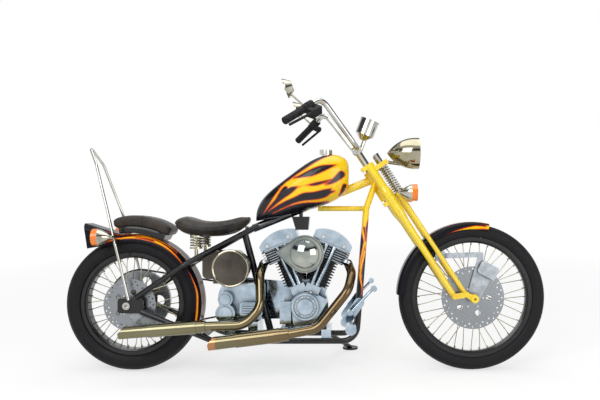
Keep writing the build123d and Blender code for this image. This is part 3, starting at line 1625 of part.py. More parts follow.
def gearbox():
    low = gearbox_z - gearbox_height / 2
    body = Pos(gearbox_x, 0, gearbox_z) * Box(gearbox_length, 2 * gearbox_half_width, gearbox_height)
    body = fillet(body.edges().filter_by(Axis.Y), gearbox_round)
    rail_top = rear_cross_z + cross_member_radius
    foot_low = rail_z + tube_radius + seat_gap
    for x in (gearbox_x - gearbox_length * gearbox_foot_share, gearbox_x + gearbox_length * gearbox_foot_share):
        body += Pos(x, 0, foot_low) * Box(2 * mount_half, 2 * rail_y, low - foot_low + overrun,
                                          align=(Align.CENTER, Align.CENTER, Align.MIN))
    for x, z, radius in domes():
        body += across(x, z, -gearbox_half_width + overrun, -dome_end_y, radius)
        body += across(x, z, -dome_end_y, -dome_end_y - dome_step, radius * dome_step_share)
    cover = RectangleRounded(gearbox_cover_length, gearbox_cover_height, gearbox_round)
    cover_at = Pos(gearbox_x + gearbox_cover_forward, gearbox_z - gearbox_cover_drop)
    body += side_slab(cover_at * cover, -gearbox_half_width + overrun, -gearbox_half_width - gearbox_cover_depth)
    pitch = gearbox_cover_height / (gearbox_rib_count + 1)
    for k in range(gearbox_rib_count):
        rib = Pos(0, (k + 1) * pitch - gearbox_cover_height / 2) * Rectangle(gearbox_cover_length - 2 * pitch, pitch / 2)
        body += side_slab(cover_at * rib, -gearbox_half_width - gearbox_cover_depth,
                          -gearbox_half_width - gearbox_cover_depth - gearbox_rib_proud)
    shaft_x, shaft_z = output_x, output_z
    body += across(shaft_x, shaft_z, gearbox_half_width - overrun, primary_inner_y - seat_gap, output_shaft_radius)
    body += across(shaft_x, shaft_z, belt_inner_y, belt_inner_y + belt_width, gearbox_pulley_radius)
    return body - frame["frame_rails"] - post_room()


def post_room():
    """The room that the seat post takes, and a slot ahead of it as far as the engine."""
    half = seat_post_radius + seat_gap
    top, foot = (seat_post_top_x, backbone_rear_z - seat_post_drop), (seat_post_foot_x, rail_z)
    post = rod((top[0], 0, top[1]), (foot[0], 0, foot[1]), half)
    face = outline(top, foot, (crank_x, foot[1]), (crank_x, top[1]))
    return post + side_slab(face, -half, half)


def domes():
    """The round covers on the right of the gearbox: x, z, radius."""
    rear = gearbox_x - gearbox_length * dome_back_share
    return [
        (rear, gearbox_z + dome_rise, dome_small_radius),
        (rear, gearbox_z - dome_drop, dome_large_radius),
    ]


def primary_case():
    rear, front = (output_x, output_z), (crank_x, crank_z)
    face = belt_loop(rear, primary_rear_radius, front, primary_front_radius)
    lid = belt_loop(rear, primary_rear_radius - primary_step, front, primary_front_radius - primary_step)
    outer_y = primary_inner_y + primary_depth - primary_step
    case = side_slab(face, primary_inner_y, outer_y)
    case += side_slab(lid, outer_y, primary_inner_y + primary_depth)
    case += across(*rear, primary_inner_y + primary_depth, primary_inner_y + primary_depth + primary_step / 2,
                   primary_rear_radius * derby_share)
    case += across(*front, case_half_width + seat_gap, primary_inner_y + overrun, primary_boss_radius)
    return case


def drive_belt():
    rear, front = (rear_axle.X, rear_axle.Z), (output_x, output_z)
    low, high = seat_gap, seat_gap + belt_thickness
    outer = belt_loop(rear, rear_pulley_radius + high, front, gearbox_pulley_radius + high)
    inner = belt_loop(rear, rear_pulley_radius + low, front, gearbox_pulley_radius + low)
    return side_slab(outer - inner, belt_inner_y + seat_gap, belt_inner_y + belt_width - seat_gap)


def oil_tank():
    length, height = oil_tank_front_x - oil_tank_rear_x, oil_tank_high_z - oil_tank_low_z
    middle = ((oil_tank_front_x + oil_tank_rear_x) / 2, 0, (oil_tank_high_z + oil_tank_low_z) / 2)
    tank = Pos(*middle) * Box(length, 2 * oil_tank_half_width, height)
    tank = fillet(tank.edges().filter_by(Axis.Y), oil_tank_round)
    tank += across(canister_x, canister_z, -oil_tank_half_width + oil_tank_round, -canister_end_y, canister_radius)
    tank += across(canister_x, canister_z, -canister_end_y, -canister_end_y - canister_rim, canister_radius + canister_rim)
    foot = gearbox_z + gearbox_height / 2 + seat_gap
    tank += Pos(middle[0], 0, foot) * Box(length / 2, oil_tank_half_width, oil_tank_low_z - foot + overrun,
                                          align=(Align.CENTER, Align.CENTER, Align.MIN))
    tank = tank - post_room()
    for side in SIDES:
        tank = tank - stay(side)
    return largest(tank)


# Exhaust


def exhaust(route, bends, end, radius, piece):
    """A pipe along its route with a silencer on the last run, open at a slash-cut tip."""
    pipe = bent_rod(route, pipe_radius, bends)
    start, finish = Vector(*route[-1]), Vector(*end)
    along = (finish - start).normalized()
    silencer = rod(start - along * overrun, finish, radius)
    bore = rod(finish - along * tip_bore_depth, finish + along * overrun, radius - muffler_wall)
    slash = Plane(origin=finish, x_dir=(0, 1, 0), z_dir=Vector(along.X, 0, along.Z + tip_slash))
    lop = extrude(slash * Rectangle(4 * radius, 4 * radius), 4 * radius)
    shape = pipe + silencer - lop - bore
    for solid in piece.solids():
        shape = shape - solid
    return largest(shape)


# Corners of each pipe, from its port to its silencer, and the silencer's end:
# shares of the wheelbase forward, of the pipes' distance to the right, and of the wheelbase up
front_route_shares = [
    (0.634, 0.19, 0.316),
    (0.645, 0.61, 0.291),
    (0.635, 0.90, 0.247),
    (0.548, 1.00, 0.140),
    (0.467, 1.01, 0.126),
]
front_end_share = (0.245, 1.06, 0.099)
rear_route_shares = [
    (0.387, 0.19, 0.316),
    (0.381, 0.61, 0.286),
    (0.388, 0.90, 0.197),
    (0.344, 0.97, 0.150),
    (0.235, 1.00, 0.147),
]
rear_end_share = (-0.005, 1.00, 0.128)


def placed(share):
    """A point on an exhaust from its shares."""
    x, y, z = share
    return (x * wheelbase, -y * exhaust_y, z * wheelbase)


def exhausts():
    front = exhaust([placed(s) for s in front_route_shares], pipe_bends, placed(front_end_share),
                    lower_muffler_radius, engine["cylinder_heads"])
    rear = exhaust([placed(s) for s in rear_route_shares], pipe_bends, placed(rear_end_share),
                   muffler_radius, engine["cylinder_heads"])
    return front, rear


def shield(start, finish, radius):
    """A half-round heat shield that lies on the outside of a pipe."""
    start, finish = Vector(start), Vector(finish)
    shell = rod(start, finish, radius + seat_gap + shield_wall) - rod(start, finish, radius + seat_gap)
    middle = (start + finish) / 2
    size = (finish - start).length + 4 * radius
    return shell & (Pos(middle.X, middle.Y, middle.Z) * Box(size, size, size, align=(Align.CENTER, Align.MAX, Align.CENTER)))


def along_run(low, high, share):
    return tuple(a + (b - a) * share for a, b in zip(low, high))


def heat_shields():
    rear_start, rear_end = placed(rear_route_shares[-1]), placed(rear_end_share)
    upper = shield(along_run(rear_start, rear_end, shield_start_share), along_run(rear_start, rear_end, shield_end_share),
                   muffler_radius)
    front_start, front_end = placed(front_route_shares[-1]), placed(front_end_share)
    lower = shield(along_run(front_start, front_end, shield_start_share),
                   along_run(front_start, front_end, shield_end_share), lower_muffler_radius)
    return group([upper, lower])


# Foot controls, rear brake and side stand


def foot_controls():
    """Forward controls on both sides: plate on the frame, pedal with its toe pad, and rubber-covered peg."""
    solids = []
    for side in SIDES:
        inner = side * (rail_y + tube_radius + seat_gap)
        outer = inner + side * control_plate_thickness
        plate = belt_loop((control_low_x, control_low_z), control_eye_radius, (down_tube_foot_x, down_tube_foot_z),
                          control_eye_radius)
        shape = side_slab(plate, inner, outer)
        shape += across(peg_x, peg_z, outer - side * overrun, side * (peg_y + peg_length), peg_core_radius)
        shape += across(peg_x, peg_z, side * peg_y, side * (peg_y + peg_length), peg_radius)
        arm_y = outer + side * pedal_gap
        boss_end = arm_y + side * (pedal_radius + overrun)
        shape += across(control_boss_x, control_boss_z, outer - side * overrun, boss_end, peg_radius / 2)
        shape += rod((control_boss_x, arm_y, control_boss_z), (pedal_x, arm_y, pedal_z), pedal_radius)
        pad_start_y = arm_y - side * (pedal_radius + overrun)
        shape += across(pedal_x, pedal_z, pad_start_y, arm_y + side * pedal_pad_length, pedal_pad_radius)
        solids.append(largest(shape))
    return group(solids)


def rear_caliper():
    plate_inner = -rear_disc_side - disc_thickness / 2 - caliper_plate_gap
    plate_outer = plate_inner - caliper_plate_thickness
    body_at = rear_axle + ray(rear_caliper_angle, rear_disc_radius)
    plate = belt_loop((rear_axle.X, rear_axle.Z), caliper_eye_radius, (body_at.X, body_at.Z), caliper_body_height / 2)
    shape = side_slab(plate, plate_inner, plate_outer)
    shape += caliper_block(body_at, rear_caliper_angle, -rear_disc_side, plate_outer, rear_disc_radius)
    return shape - across(0, rear_axle.Z, 0, plate_outer - overrun, spacer_radius + seat_gap)


def side_stand():
    """The stand's eye, leg and foot, whose sole lies on the ground when the machine leans."""
    tilt = math.radians(lean_angle)
    foot = Vector(stand_x + stand_forward, stand_foot_y, stand_foot_y * math.tan(tilt) - tyre_roll_drop)
    up = Vector(0, -math.sin(tilt), math.cos(tilt))
    sole = Plane(origin=foot, x_dir=(1, 0, 0), z_dir=up)
    shape = stand_frame * rod((0, 0, -stand_eye_length / 2), (0, 0, stand_eye_length / 2), stand_eye_radius)
    shape += rod(stand_frame.position, foot + up * stand_foot_thickness, stand_radius)
    shape += extrude(sole * Ellipse(stand_foot_length / 2, stand_foot_width / 2), stand_foot_thickness)
    half = stand_eye_length
    shape -= stand_frame * rod((0, 0, -half), (0, 0, half), stand_pivot_radius + seat_gap)
    below = extrude(sole * Rectangle(stand_foot_y, stand_foot_y), -stand_foot_y)
    return largest(shape - below)


stand_y = rail_y + stand_out
stand_axis = Vector(0, math.sin(math.radians(stand_axis_tilt)), math.cos(math.radians(stand_axis_tilt)))
stand_frame = Plane(origin=(stand_x, stand_y, rail_z), x_dir=(1, 0, 0), z_dir=stand_axis).location

# Assembly

frame = frame_nodes()
case = crankcase()
covers = rocker_boxes()
engine = {"crankcase": case, "cam_cover": cam_cover(), "cylinders": barrels(), "cylinder_heads": heads()}
front_exhaust, rear_exhaust = exhausts()
fender = rear_fender()
nodes = {
    **frame,
    **wheel_pieces(),
    **engine,
    "rocker_boxes": covers,
    "pushrod_tubes": pushrod_tubes(),
    "carburettor": carburettor(),
    "air_cleaner": air_cleaner(),
    "ignition_coil": coil(),
    "gearbox": gearbox(),
    "primary_case": primary_case(),
    "drive_belt": drive_belt(),
    "oil_tank": oil_tank(),
    "front_exhaust": front_exhaust,
    "rear_exhaust": rear_exhaust,
    "heat_shields": heat_shields(),
    "fork_rear_legs": fork_frame * fork_rear_legs(),
    "fork_front_legs": fork_frame * fork_front_legs(),
    "fork_springs": fork_frame * fork_springs(),
    "fork_rockers": fork_frame * fork_rockers(),
    "handlebar": fork_frame * handlebar(),
    "grips": fork_frame * grips(),
    "hand_controls": fork_frame * hand_controls(),
    "mirrors": fork_frame * mirrors(),
    "speedometer": fork_frame * speedometer(),
    "headlamp": headlamp(),
    "headlamp_lens": headlamp_lens(),
    "front_indicators": front_indicators(),
    "front_fender": front_fender(),
    "front_caliper": front_caliper(),
    "rear_fender": fender,
    "sissy_bar": sissy_bar(),
    "rear_indicators": rear_indicators(),
    "tail_lamp": tail_lamp(),
    "pillion_pad": pillion_pad(),
    "rider_seat": rider_seat(),
    "seat_springs": seat_springs(),
    "fuel_tank": fuel_tank(),
    "fuel_cap": fuel_cap(),
    "foot_controls": foot_controls(),
    "rear_caliper": rear_caliper(),
    "side_stand": side_stand(),
}

# The whole machine leans to its left about X, and stands with the middle of its box at the origin
lean = Rot(-lean_angle, 0, 0)
leaned = {name: moved(lean, shape) for name, shape in nodes.items()}
box = Compound(children=[Compound(shape.solids()) for shape in leaned.values()]).bounding_box()
shift = Pos(-(box.min.X + box.max.X) / 2, -(box.min.Y + box.max.Y) / 2, -box.min.Z)


def place_point(point):
    return shift * lean * Pos(*point)


def report_place(label, point, direction):
    """Print where a joint or a mount is, and which way it points."""
    spot = place_point(point).position
    tip = place_point(Vector(*point) + Vector(*direction)).position
    way = tip - spot
    print(label, [round(c, 4) for c in spot], [round(c, 6) for c in way])


os.makedirs("parts", exist_ok=True)
for name, shape in leaned.items():
    export_step(moved(shift, shape), f"parts/{name}.step")

report_place("front_axle", front_axle, (0, 1, 0))
report_place("rear_axle", rear_axle, (0, 1, 0))
rear_end_y = axle_plate_inner_y + axle_plate_thickness + axle_nut_length
front_end_y = leg_y + leg_foot_radius + seat_gap + rocker_thickness + axle_nut_length
report_place("rear_axle_end", (rear_axle.X, rear_end_y, rear_axle.Z), (0, 1, 0))
report_place("front_axle_end", (front_axle.X, front_end_y, front_axle.Z), (0, 1, 0))
report_place("steering", (steering_x, 0, steering_z), (-sin_rake, 0, cos_rake))
report_place("side_stand", stand_frame.position, stand_axis)
print("box", [round(c, 3) for c in (*box.size,)])
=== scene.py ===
import bpy, bmesh, math
from mathutils import Matrix, Vector


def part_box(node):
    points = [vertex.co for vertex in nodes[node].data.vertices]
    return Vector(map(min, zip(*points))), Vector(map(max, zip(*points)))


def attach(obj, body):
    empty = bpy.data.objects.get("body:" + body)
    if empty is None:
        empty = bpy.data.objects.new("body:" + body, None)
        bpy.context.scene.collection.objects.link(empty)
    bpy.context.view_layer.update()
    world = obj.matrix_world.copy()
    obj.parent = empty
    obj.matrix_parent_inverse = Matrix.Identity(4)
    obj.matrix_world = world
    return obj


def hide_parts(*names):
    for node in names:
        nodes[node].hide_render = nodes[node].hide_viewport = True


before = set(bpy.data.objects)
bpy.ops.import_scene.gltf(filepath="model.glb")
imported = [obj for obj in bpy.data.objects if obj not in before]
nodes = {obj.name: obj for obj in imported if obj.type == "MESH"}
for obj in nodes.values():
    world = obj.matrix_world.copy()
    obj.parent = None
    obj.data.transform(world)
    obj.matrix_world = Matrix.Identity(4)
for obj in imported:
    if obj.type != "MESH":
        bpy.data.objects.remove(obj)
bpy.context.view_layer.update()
print("frame loaded:", len(nodes), "solids")

# Everything is laid out upright in millimetres, rear axle above x = 0 and ground at z = 0,
# and this matrix leans it over and brings it to the row frame in metres.
rimLow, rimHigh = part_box("rear_rim")
rearHub = (Vector(rimLow) + Vector(rimHigh)) / 2
machine = {"lean": -8.0, "rearAxle": 314.0, "wheelbase": 1590.0, "frontAxle": 343.0}
leanTurn = Matrix.Rotation(math.radians(machine["lean"]), 4, "X")
toRow = (Matrix.Translation(rearHub) @ leanTurn @ Matrix.Translation((0, 0, -machine["rearAxle"] / 1000))
         @ Matrix.Scale(0.001, 4))
scene = bpy.context.scene


# Shader helpers

def wire(tree, kind, props=None, **sockets):
    made = tree.nodes.new(kind)
    for key, value in (props or {}).items():
        setattr(made, key, value)
    for key, value in sockets.items():
        index = int(key[1:]) if key[0] == "i" and key[1:].isdigit() else key.replace("_", " ")
        if isinstance(value, bpy.types.NodeSocket):
            tree.links.new(value, made.inputs[index])
        else:
            made.inputs[index].default_value = value
    return made


def blank(name):
    material = bpy.data.materials.new(name)
    material.use_nodes = True
    tree = material.node_tree
    tree.nodes.clear()
    output = tree.nodes.new("ShaderNodeOutputMaterial")
    shader = tree.nodes.new("ShaderNodeBsdfPrincipled")
    tree.links.new(shader.outputs[0], output.inputs[0])
    return material, tree, shader


def uprightCoords(tree):
    # Object coordinates turned back upright, in metres from the ground under the rear axle
    coords = wire(tree, "ShaderNodeTexCoord").outputs["Object"]
    turnBack = Matrix.Rotation(math.radians(-machine["lean"]), 4, "X")
    origin = turnBack @ Vector(rearHub)
    shift = (-origin.x, -origin.y, machine["rearAxle"] / 1000 - origin.z)
    upright = (math.radians(-machine["lean"]), 0, 0)
    return wire(tree, "ShaderNodeMapping", i0=coords, i1=shift, i2=upright).outputs[0]


def mixed(tree, factor, low, high):
    low = (*low, 1) if isinstance(low, tuple) and len(low) == 3 else low
    high = (*high, 1) if isinstance(high, tuple) and len(high) == 3 else high
    return wire(tree, "ShaderNodeMix", {"data_type": "RGBA"}, i0=factor, i6=low, i7=high).outputs[2]


def calc(tree, operation, a, b=0.0):
    return wire(tree, "ShaderNodeMath", {"operation": operation}, i0=a, i1=b).outputs[0]


def spread(tree, value, low, high, toLow=0.0, toHigh=1.0):
    return wire(tree, "ShaderNodeMapRange", i0=value, i1=low, i2=high, i3=toLow, i4=toHigh).outputs[0]


def ramp(tree, value, stops):
    made = wire(tree, "ShaderNodeValToRGB", i0=value)
    band = made.color_ramp
    while len(band.elements) < len(stops):
        band.elements.new(0.5)
    for element, (at, color) in zip(band.elements, stops):
        element.position, element.color = at, (*color, 1)
    return made.outputs[0]


def noiseAt(tree, coords, scale, detail=3.0, rough=0.55):
    return wire(tree, "ShaderNodeTexNoise", i2=scale, i3=detail, i4=rough, Vector=coords).outputs[0]


def patches(tree, coords, scale):
    # Soft clouds between 0 and 1
    return spread(tree, noiseAt(tree, coords, scale), 0.35, 0.65)


def bumped(tree, shader, height, strength, distance):
    bump = wire(tree, "ShaderNodeBump", Strength=strength, Distance=distance, Height=height)
    tree.links.new(bump.outputs[0], shader.inputs["Normal"])


def colored(tree, shader, tone):
    tree.links.new(tone, shader.inputs["Base Color"])


def roughened(tree, shader, value, low, high):
    tree.links.new(spread(tree, value, 0.3, 0.7, low, high), shader.inputs["Roughness"])


def finish(name, colors, rough, metal=0.0, scale=40.0, bump=(0.1, 0.0004, 300.0), coat=0.0, sockets=None,
           paintedShadeReach=0.0):
    # A mottled finish of two colours and two roughnesses. bump is (strength, depth, scale), and the last
    # argument is the width in metres of the corners and creases that are darkened with painted shade.
    material, tree, shader = blank(name)
    coords = uprightCoords(tree)
    tone = mixed(tree, patches(tree, coords, scale), *colors)
    if paintedShadeReach:
        # Painted shade: ambient occlusion darkens the colour towards near black in corners and creases
        openness = wire(tree, "ShaderNodeAmbientOcclusion", {"samples": 8}, Distance=paintedShadeReach).outputs["AO"]
        shadow = tuple(part * 0.10 for part in colors[0])
        tone = mixed(tree, spread(tree, openness, 0.35, 0.92), shadow, tone)
    colored(tree, shader, tone)
    roughened(tree, shader, noiseAt(tree, coords, scale * 2.3), *rough)
    bumped(tree, shader, noiseAt(tree, coords, bump[2]), bump[0], bump[1])
    shader.inputs["Metallic"].default_value = metal
    shader.inputs["Coat Weight"].default_value = coat
    shader.inputs["Coat Roughness"].default_value = 0.04
    for key, value in (sockets or {}).items():
        shader.inputs[key].default_value = value
    return material


# Finishes

tones = {
    "black": ((0.004, 0.004, 0.005), (0.012, 0.012, 0.014)),
    "yellow": ((0.90, 0.60, 0.002), (1.0, 0.74, 0.006)),
}
plateBump = (0.05, 0.0003, 60.0)
paints = {
    "chrome": finish("chromePlate", ((0.40, 0.39, 0.35), (0.60, 0.60, 0.57)), (0.05, 0.13), metal=1.0,
                     scale=9.0, bump=plateBump),
    "blueChrome": finish("showChrome", ((0.34, 0.43, 0.51), (0.52, 0.61, 0.69)), (0.06, 0.18), metal=1.0,
                         scale=22.0, bump=(0.08, 0.0004, 90.0), paintedShadeReach=0.035),
    "coolChrome": finish("coolChrome", ((0.24, 0.27, 0.26), (0.46, 0.48, 0.43)), (0.04, 0.1), metal=1.0,
                         scale=9.0, bump=plateBump, paintedShadeReach=0.03),
    "warmChrome": finish("warmChrome", ((0.27, 0.24, 0.15), (0.45, 0.42, 0.31)), (0.05, 0.14), metal=1.0,
                         scale=7.0, bump=plateBump),
    "castAlloy": finish("castAlloy", ((0.30, 0.33, 0.36), (0.45, 0.48, 0.51)), (0.24, 0.42), metal=1.0,
                        scale=30.0, bump=(0.35, 0.0006, 420.0), paintedShadeReach=0.03),
    "smokedPlate": finish("smokedPlate", ((0.06, 0.05, 0.045), (0.12, 0.105, 0.09)), (0.14, 0.24), metal=1.0,
                          scale=8.0, bump=plateBump),
    "boltZinc": finish("boltZinc", ((0.52, 0.52, 0.50), (0.75, 0.75, 0.74)), (0.14, 0.28), metal=1.0,
                       scale=120.0, bump=(0.12, 0.0003, 400.0)),
    "blackEnamel": finish("blackEnamel", tones["black"], (0.22, 0.36), scale=20.0, bump=(0.1, 0.0004, 220.0),
                          coat=0.3, sockets={"Specular IOR Level": 0.3}),
    "finBlack": finish("finBlack", ((0.012, 0.012, 0.014), (0.035, 0.035, 0.04)), (0.42, 0.6), scale=60.0,
                       bump=(0.4, 0.0006, 500.0)),
    "rubber": finish("softRubber", ((0.008, 0.008, 0.009), (0.022, 0.022, 0.024)), (0.55, 0.75), scale=50.0,
                     bump=(0.4, 0.0006, 500.0), sockets={"Specular IOR Level": 0.2}),
    "yellowPaint": finish("yellowPaint", tones["yellow"], (0.25, 0.34), scale=5.0, bump=(0.06, 0.0003, 160.0),
                          coat=1.0),
}


def twoFinishes(tree, shader, coords, mask, first, second, bump):
    # The mask leads from the first finish, (colours, roughness, metal), to the second
    cloud = patches(tree, coords, 24.0)
    colored(tree, shader, mixed(tree, mask, *[mixed(tree, cloud, *side[0]) for side in (first, second)]))
    tree.links.new(spread(tree, mask, 0.0, 1.0, first[1], second[1]), shader.inputs["Roughness"])
    tree.links.new(spread(tree, mask, 0.0, 1.0, first[2], second[2]), shader.inputs["Metallic"])
    bumped(tree, shader, noiseAt(tree, coords, 260.0), *bump)


def splitFinish(name, limit, below, above, coat=0.0):
    # One finish on the low side of a place along the machine, another past it
    material, tree, shader = blank(name)
    coords = wire(tree, "ShaderNodeTexCoord").outputs["Object"]
    along = wire(tree, "ShaderNodeSeparateXYZ", i0=coords).outputs[0]
    past = spread(tree, along, limit - 0.0004, limit + 0.0004)
    twoFinishes(tree, shader, coords, past, below, above, (0.08, 0.0004))
    shader.inputs["Coat Weight"].default_value = coat
    shader.inputs["Coat Roughness"].default_value = 0.04
    return material


def pipeFinish(name, tipX):
    # Chrome that the heat has turned straw and olive, most near the engine, with a coppery tip
    material, tree, shader = blank(name)
    coords = uprightCoords(tree)
    place = wire(tree, "ShaderNodeSeparateXYZ", i0=coords)
    along = spread(tree, place.outputs[0], 0.2, 1.05)
    wave = calc(tree, "ADD", along, calc(tree, "MULTIPLY", noiseAt(tree, coords, 7.0), 0.25))
    tint = ramp(tree, wave, [(0.0, (0.22, 0.21, 0.13)), (0.35, (0.19, 0.17, 0.10)), (0.7, (0.17, 0.13, 0.07)),
                             (1.0, (0.14, 0.095, 0.05))])
    inRow = wire(tree, "ShaderNodeTexCoord").outputs["Object"]
    rowX = wire(tree, "ShaderNodeSeparateXYZ", i0=inRow).outputs[0]
    tip = spread(tree, rowX, tipX - 0.004, tipX + 0.004, 1.0, 0.0)
    colored(tree, shader, mixed(tree, tip, tint, (0.44, 0.21, 0.10)))
    roughened(tree, shader, noiseAt(tree, coords, 60.0), 0.07, 0.17)
    shader.inputs["Metallic"].default_value = 1.0
    bumped(tree, shader, noiseAt(tree, coords, 90.0), 0.05, 0.0003)
    return material


def discFinish(name, center):
    # Ground steel with fine rings about the axle
    material, tree, shader = blank(name)
    coords = uprightCoords(tree)
    flat = wire(tree, "ShaderNodeMapping", i0=coords, i1=(-center[0], 0, -center[1]), i3=(1, 0, 1)).outputs[0]
    reach = wire(tree, "ShaderNodeVectorMath", {"operation": "LENGTH"}, i0=flat).outputs["Value"]
    outward = wire(tree, "ShaderNodeCombineXYZ", i0=calc(tree, "MULTIPLY", reach, 900.0)).outputs[0]
    rings = noiseAt(tree, outward, 1.0, 2.0)
    colored(tree, shader, mixed(tree, rings, (0.15, 0.165, 0.18), (0.40, 0.42, 0.44)))
    roughened(tree, shader, rings, 0.2, 0.36)
    shader.inputs["Metallic"].default_value = 1.0
    bumped(tree, shader, rings, 0.15, 0.0003)
    return material


def tyreFinish(name, center, pitch):
    # Dark rubber: sidewall rings and fine lateral cuts, with a faint mottled tone all over
    material, tree, shader = blank(name)
    coords = uprightCoords(tree)
    flat = wire(tree, "ShaderNodeMapping", i0=coords, i1=(-center[0], 0, -center[1])).outputs[0]
    parts = wire(tree, "ShaderNodeSeparateXYZ", i0=flat)
    squared = calc(tree, "ADD", calc(tree, "MULTIPLY", parts.outputs[0], parts.outputs[0]),
                    calc(tree, "MULTIPLY", parts.outputs[2], parts.outputs[2]))
    reach = calc(tree, "SQRT", squared)
    turn = calc(tree, "ARCTAN2", parts.outputs[2], parts.outputs[0])
    cloud = noiseAt(tree, coords, 26.0)
    colored(tree, shader, mixed(tree, cloud, (0.004, 0.004, 0.005), (0.013, 0.013, 0.015)))
    roughened(tree, shader, cloud, 0.42, 0.6)
    side = calc(tree, "ABSOLUTE", parts.outputs[1])
    slant = calc(tree, "ADD", calc(tree, "MULTIPLY", turn, pitch), calc(tree, "MULTIPLY", side, 160.0))
    cuts = spread(tree, calc(tree, "SINE", slant), 0.78, 0.95, 1.0, 0.0)
    onTread = spread(tree, reach, center[1] - 0.034, center[1] - 0.022)
    rings = spread(tree, calc(tree, "SINE", calc(tree, "MULTIPLY", reach, 900.0)), 0.6, 0.9)
    notTread = calc(tree, "SUBTRACT", 1.0, onTread)
    height = calc(tree, "ADD", calc(tree, "MULTIPLY", cuts, onTread),
                   calc(tree, "MULTIPLY", calc(tree, "MULTIPLY", rings, notTread), 0.12))
    height = calc(tree, "ADD", height, calc(tree, "MULTIPLY", noiseAt(tree, coords, 500.0), 0.1))
    bumped(tree, shader, height, 0.7, 0.002)
    shader.inputs["Specular IOR Level"].default_value = 0.2
    return material


def leatherFinish():
    # Dark brown hide with a fine grain and soft folds, its lighter brown partly a painted sheen
    material, tree, shader = blank("grainedLeather")
    coords = uprightCoords(tree)
    cloud = patches(tree, coords, 14.0)
    # Partly painted sheen: the lighter brown clouds are partly the hide's own tone and partly stand in for
    # light on the leather
    colored(tree, shader, mixed(tree, cloud, (0.007, 0.006, 0.006), (0.040, 0.029, 0.018)))
    cells = wire(tree, "ShaderNodeTexVoronoi", {"feature": "DISTANCE_TO_EDGE"}, Vector=coords, Scale=420.0)
    folds = noiseAt(tree, coords, 60.0, 5.0)
    height = calc(tree, "ADD", spread(tree, cells.outputs[0], 0.0, 0.18), calc(tree, "MULTIPLY", folds, 0.8))
    bumped(tree, shader, height, 0.35, 0.0008)
    roughened(tree, shader, folds, 0.30, 0.48)
    shader.inputs["Sheen Weight"].default_value = 0.05
    shader.inputs["Specular IOR Level"].default_value = 0.3
    return material


def flameFinish(name, coat, specular):
    # "edge" is the distance in millimetres inside a flame, "heat" runs from its root to its tips
    material, tree, shader = blank(name)
    coords = uprightCoords(tree)
    edge = wire(tree, "ShaderNodeAttribute", {"attribute_name": "edge"}).outputs["Fac"]
    heat = wire(tree, "ShaderNodeAttribute", {"attribute_name": "heat"}).outputs["Fac"]
    inner = ramp(tree, heat, [(0.0, (1.0, 0.66, 0.004)), (0.35, (1.0, 0.56, 0.005)),
                              (0.7, (0.95, 0.24, 0.01)), (1.0, (0.62, 0.06, 0.02))])
    rim = mixed(tree, spread(tree, edge, 1.2, 7.0), (0.86, 0.16, 0.01), inner)
    line = mixed(tree, spread(tree, edge, -0.3, 1.2), (0.34, 0.008, 0.012), rim)
    ground = mixed(tree, noiseAt(tree, coords, 30.0), (0.004, 0.004, 0.006), (0.010, 0.009, 0.014))
    colored(tree, shader, mixed(tree, spread(tree, edge, -2.2, -1.4), ground, line))
    roughened(tree, shader, noiseAt(tree, coords, 8.0), 0.22, 0.3)
    shader.inputs["Coat Weight"].default_value = coat
    shader.inputs["Coat Roughness"].default_value = 0.03
    shader.inputs["Specular IOR Level"].default_value = specular
    bumped(tree, shader, noiseAt(tree, coords, 160.0), 0.04, 0.0003)
    return material


def glassFinish():
    material, tree, shader = blank("lampGlass")
    coords = uprightCoords(tree)
    parts = wire(tree, "ShaderNodeSeparateXYZ", i0=coords)
    flutes = calc(tree, "SINE", calc(tree, "MULTIPLY", parts.outputs[1], 700.0))
    bumped(tree, shader, flutes, 0.5, 0.0015)
    shader.inputs["Base Color"].default_value = (0.93, 0.96, 0.97, 1)
    shader.inputs["Roughness"].default_value = 0.03
    shader.inputs["Transmission Weight"].default_value = 1.0
    shader.inputs["IOR"].default_value = 1.45
    return material


# Lengths in metres from a node's end, or from the rear axle, at which its finish changes
changes = {"indicatorLens": 0.026, "lampLens": 0.007, "pipeTip": 0.035, "yellowFrom": 0.80}
# Each of these is (colours, roughness, metal)
plating = (((0.34, 0.32, 0.25), (0.52, 0.50, 0.42)), 0.12, 1.0)
orange = (((0.85, 0.16, 0.004), (1.0, 0.27, 0.01)), 0.16, 0.0)
red = (((0.34, 0.006, 0.004), (0.52, 0.014, 0.008)), 0.16, 0.0)
black = (tones["black"], 0.26, 0.0)
yellow = (tones["yellow"], 0.28, 0.0)
frontHub = (machine["wheelbase"] / 1000, machine["frontAxle"] / 1000)
backHub = (0.0, machine["rearAxle"] / 1000)
paints.update({
    "mirrors": finish("mirrorFinish", plating[0], (plating[1], plating[1]), metal=plating[2], scale=24.0,
                      bump=(0.04, 0.0003, 260.0)),
    "frontIndicator": splitFinish("frontIndicatorFinish",
                                  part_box("front_indicators")[1][0] - changes["indicatorLens"],
                                  plating, orange, 0.5),
    "rearIndicator": splitFinish("rearIndicatorFinish",
                                 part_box("rear_indicators")[0][0] + changes["indicatorLens"],
                                 orange, plating, 0.5),
    "tailLamp": splitFinish("tailLampFinish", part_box("tail_lamp")[0][0] + changes["lampLens"],
                            red, black, 0.6),
    "spine": splitFinish("spineFinish", rearHub.x + changes["yellowFrom"], black, yellow, 1.0),
    "frontPipe": pipeFinish("frontHeatedPipe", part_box("front_exhaust")[0][0] + changes["pipeTip"]),
    # its tip would lie past its end, so this one has none
    "rearPipe": pipeFinish("rearHeatedPipe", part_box("rear_exhaust")[0][0] - changes["pipeTip"]),
    "frontDisc": discFinish("frontDiscSteel", frontHub),
    "rearDisc": discFinish("rearDiscSteel", backHub),
    "frontTyre": tyreFinish("frontTyreRubber", frontHub, 150.0),
    "rearTyre": tyreFinish("rearTyreRubber", backHub, 120.0),
    "leather": leatherFinish(),
    "flames": flameFinish("flamePaint", coat=0.25, specular=0.3),
    "fenderFlames": flameFinish("fenderFlamePaint", coat=0.0, specular=0.12),
    "glass": glassFinish(),
})
print("finishes made:", len(paints))

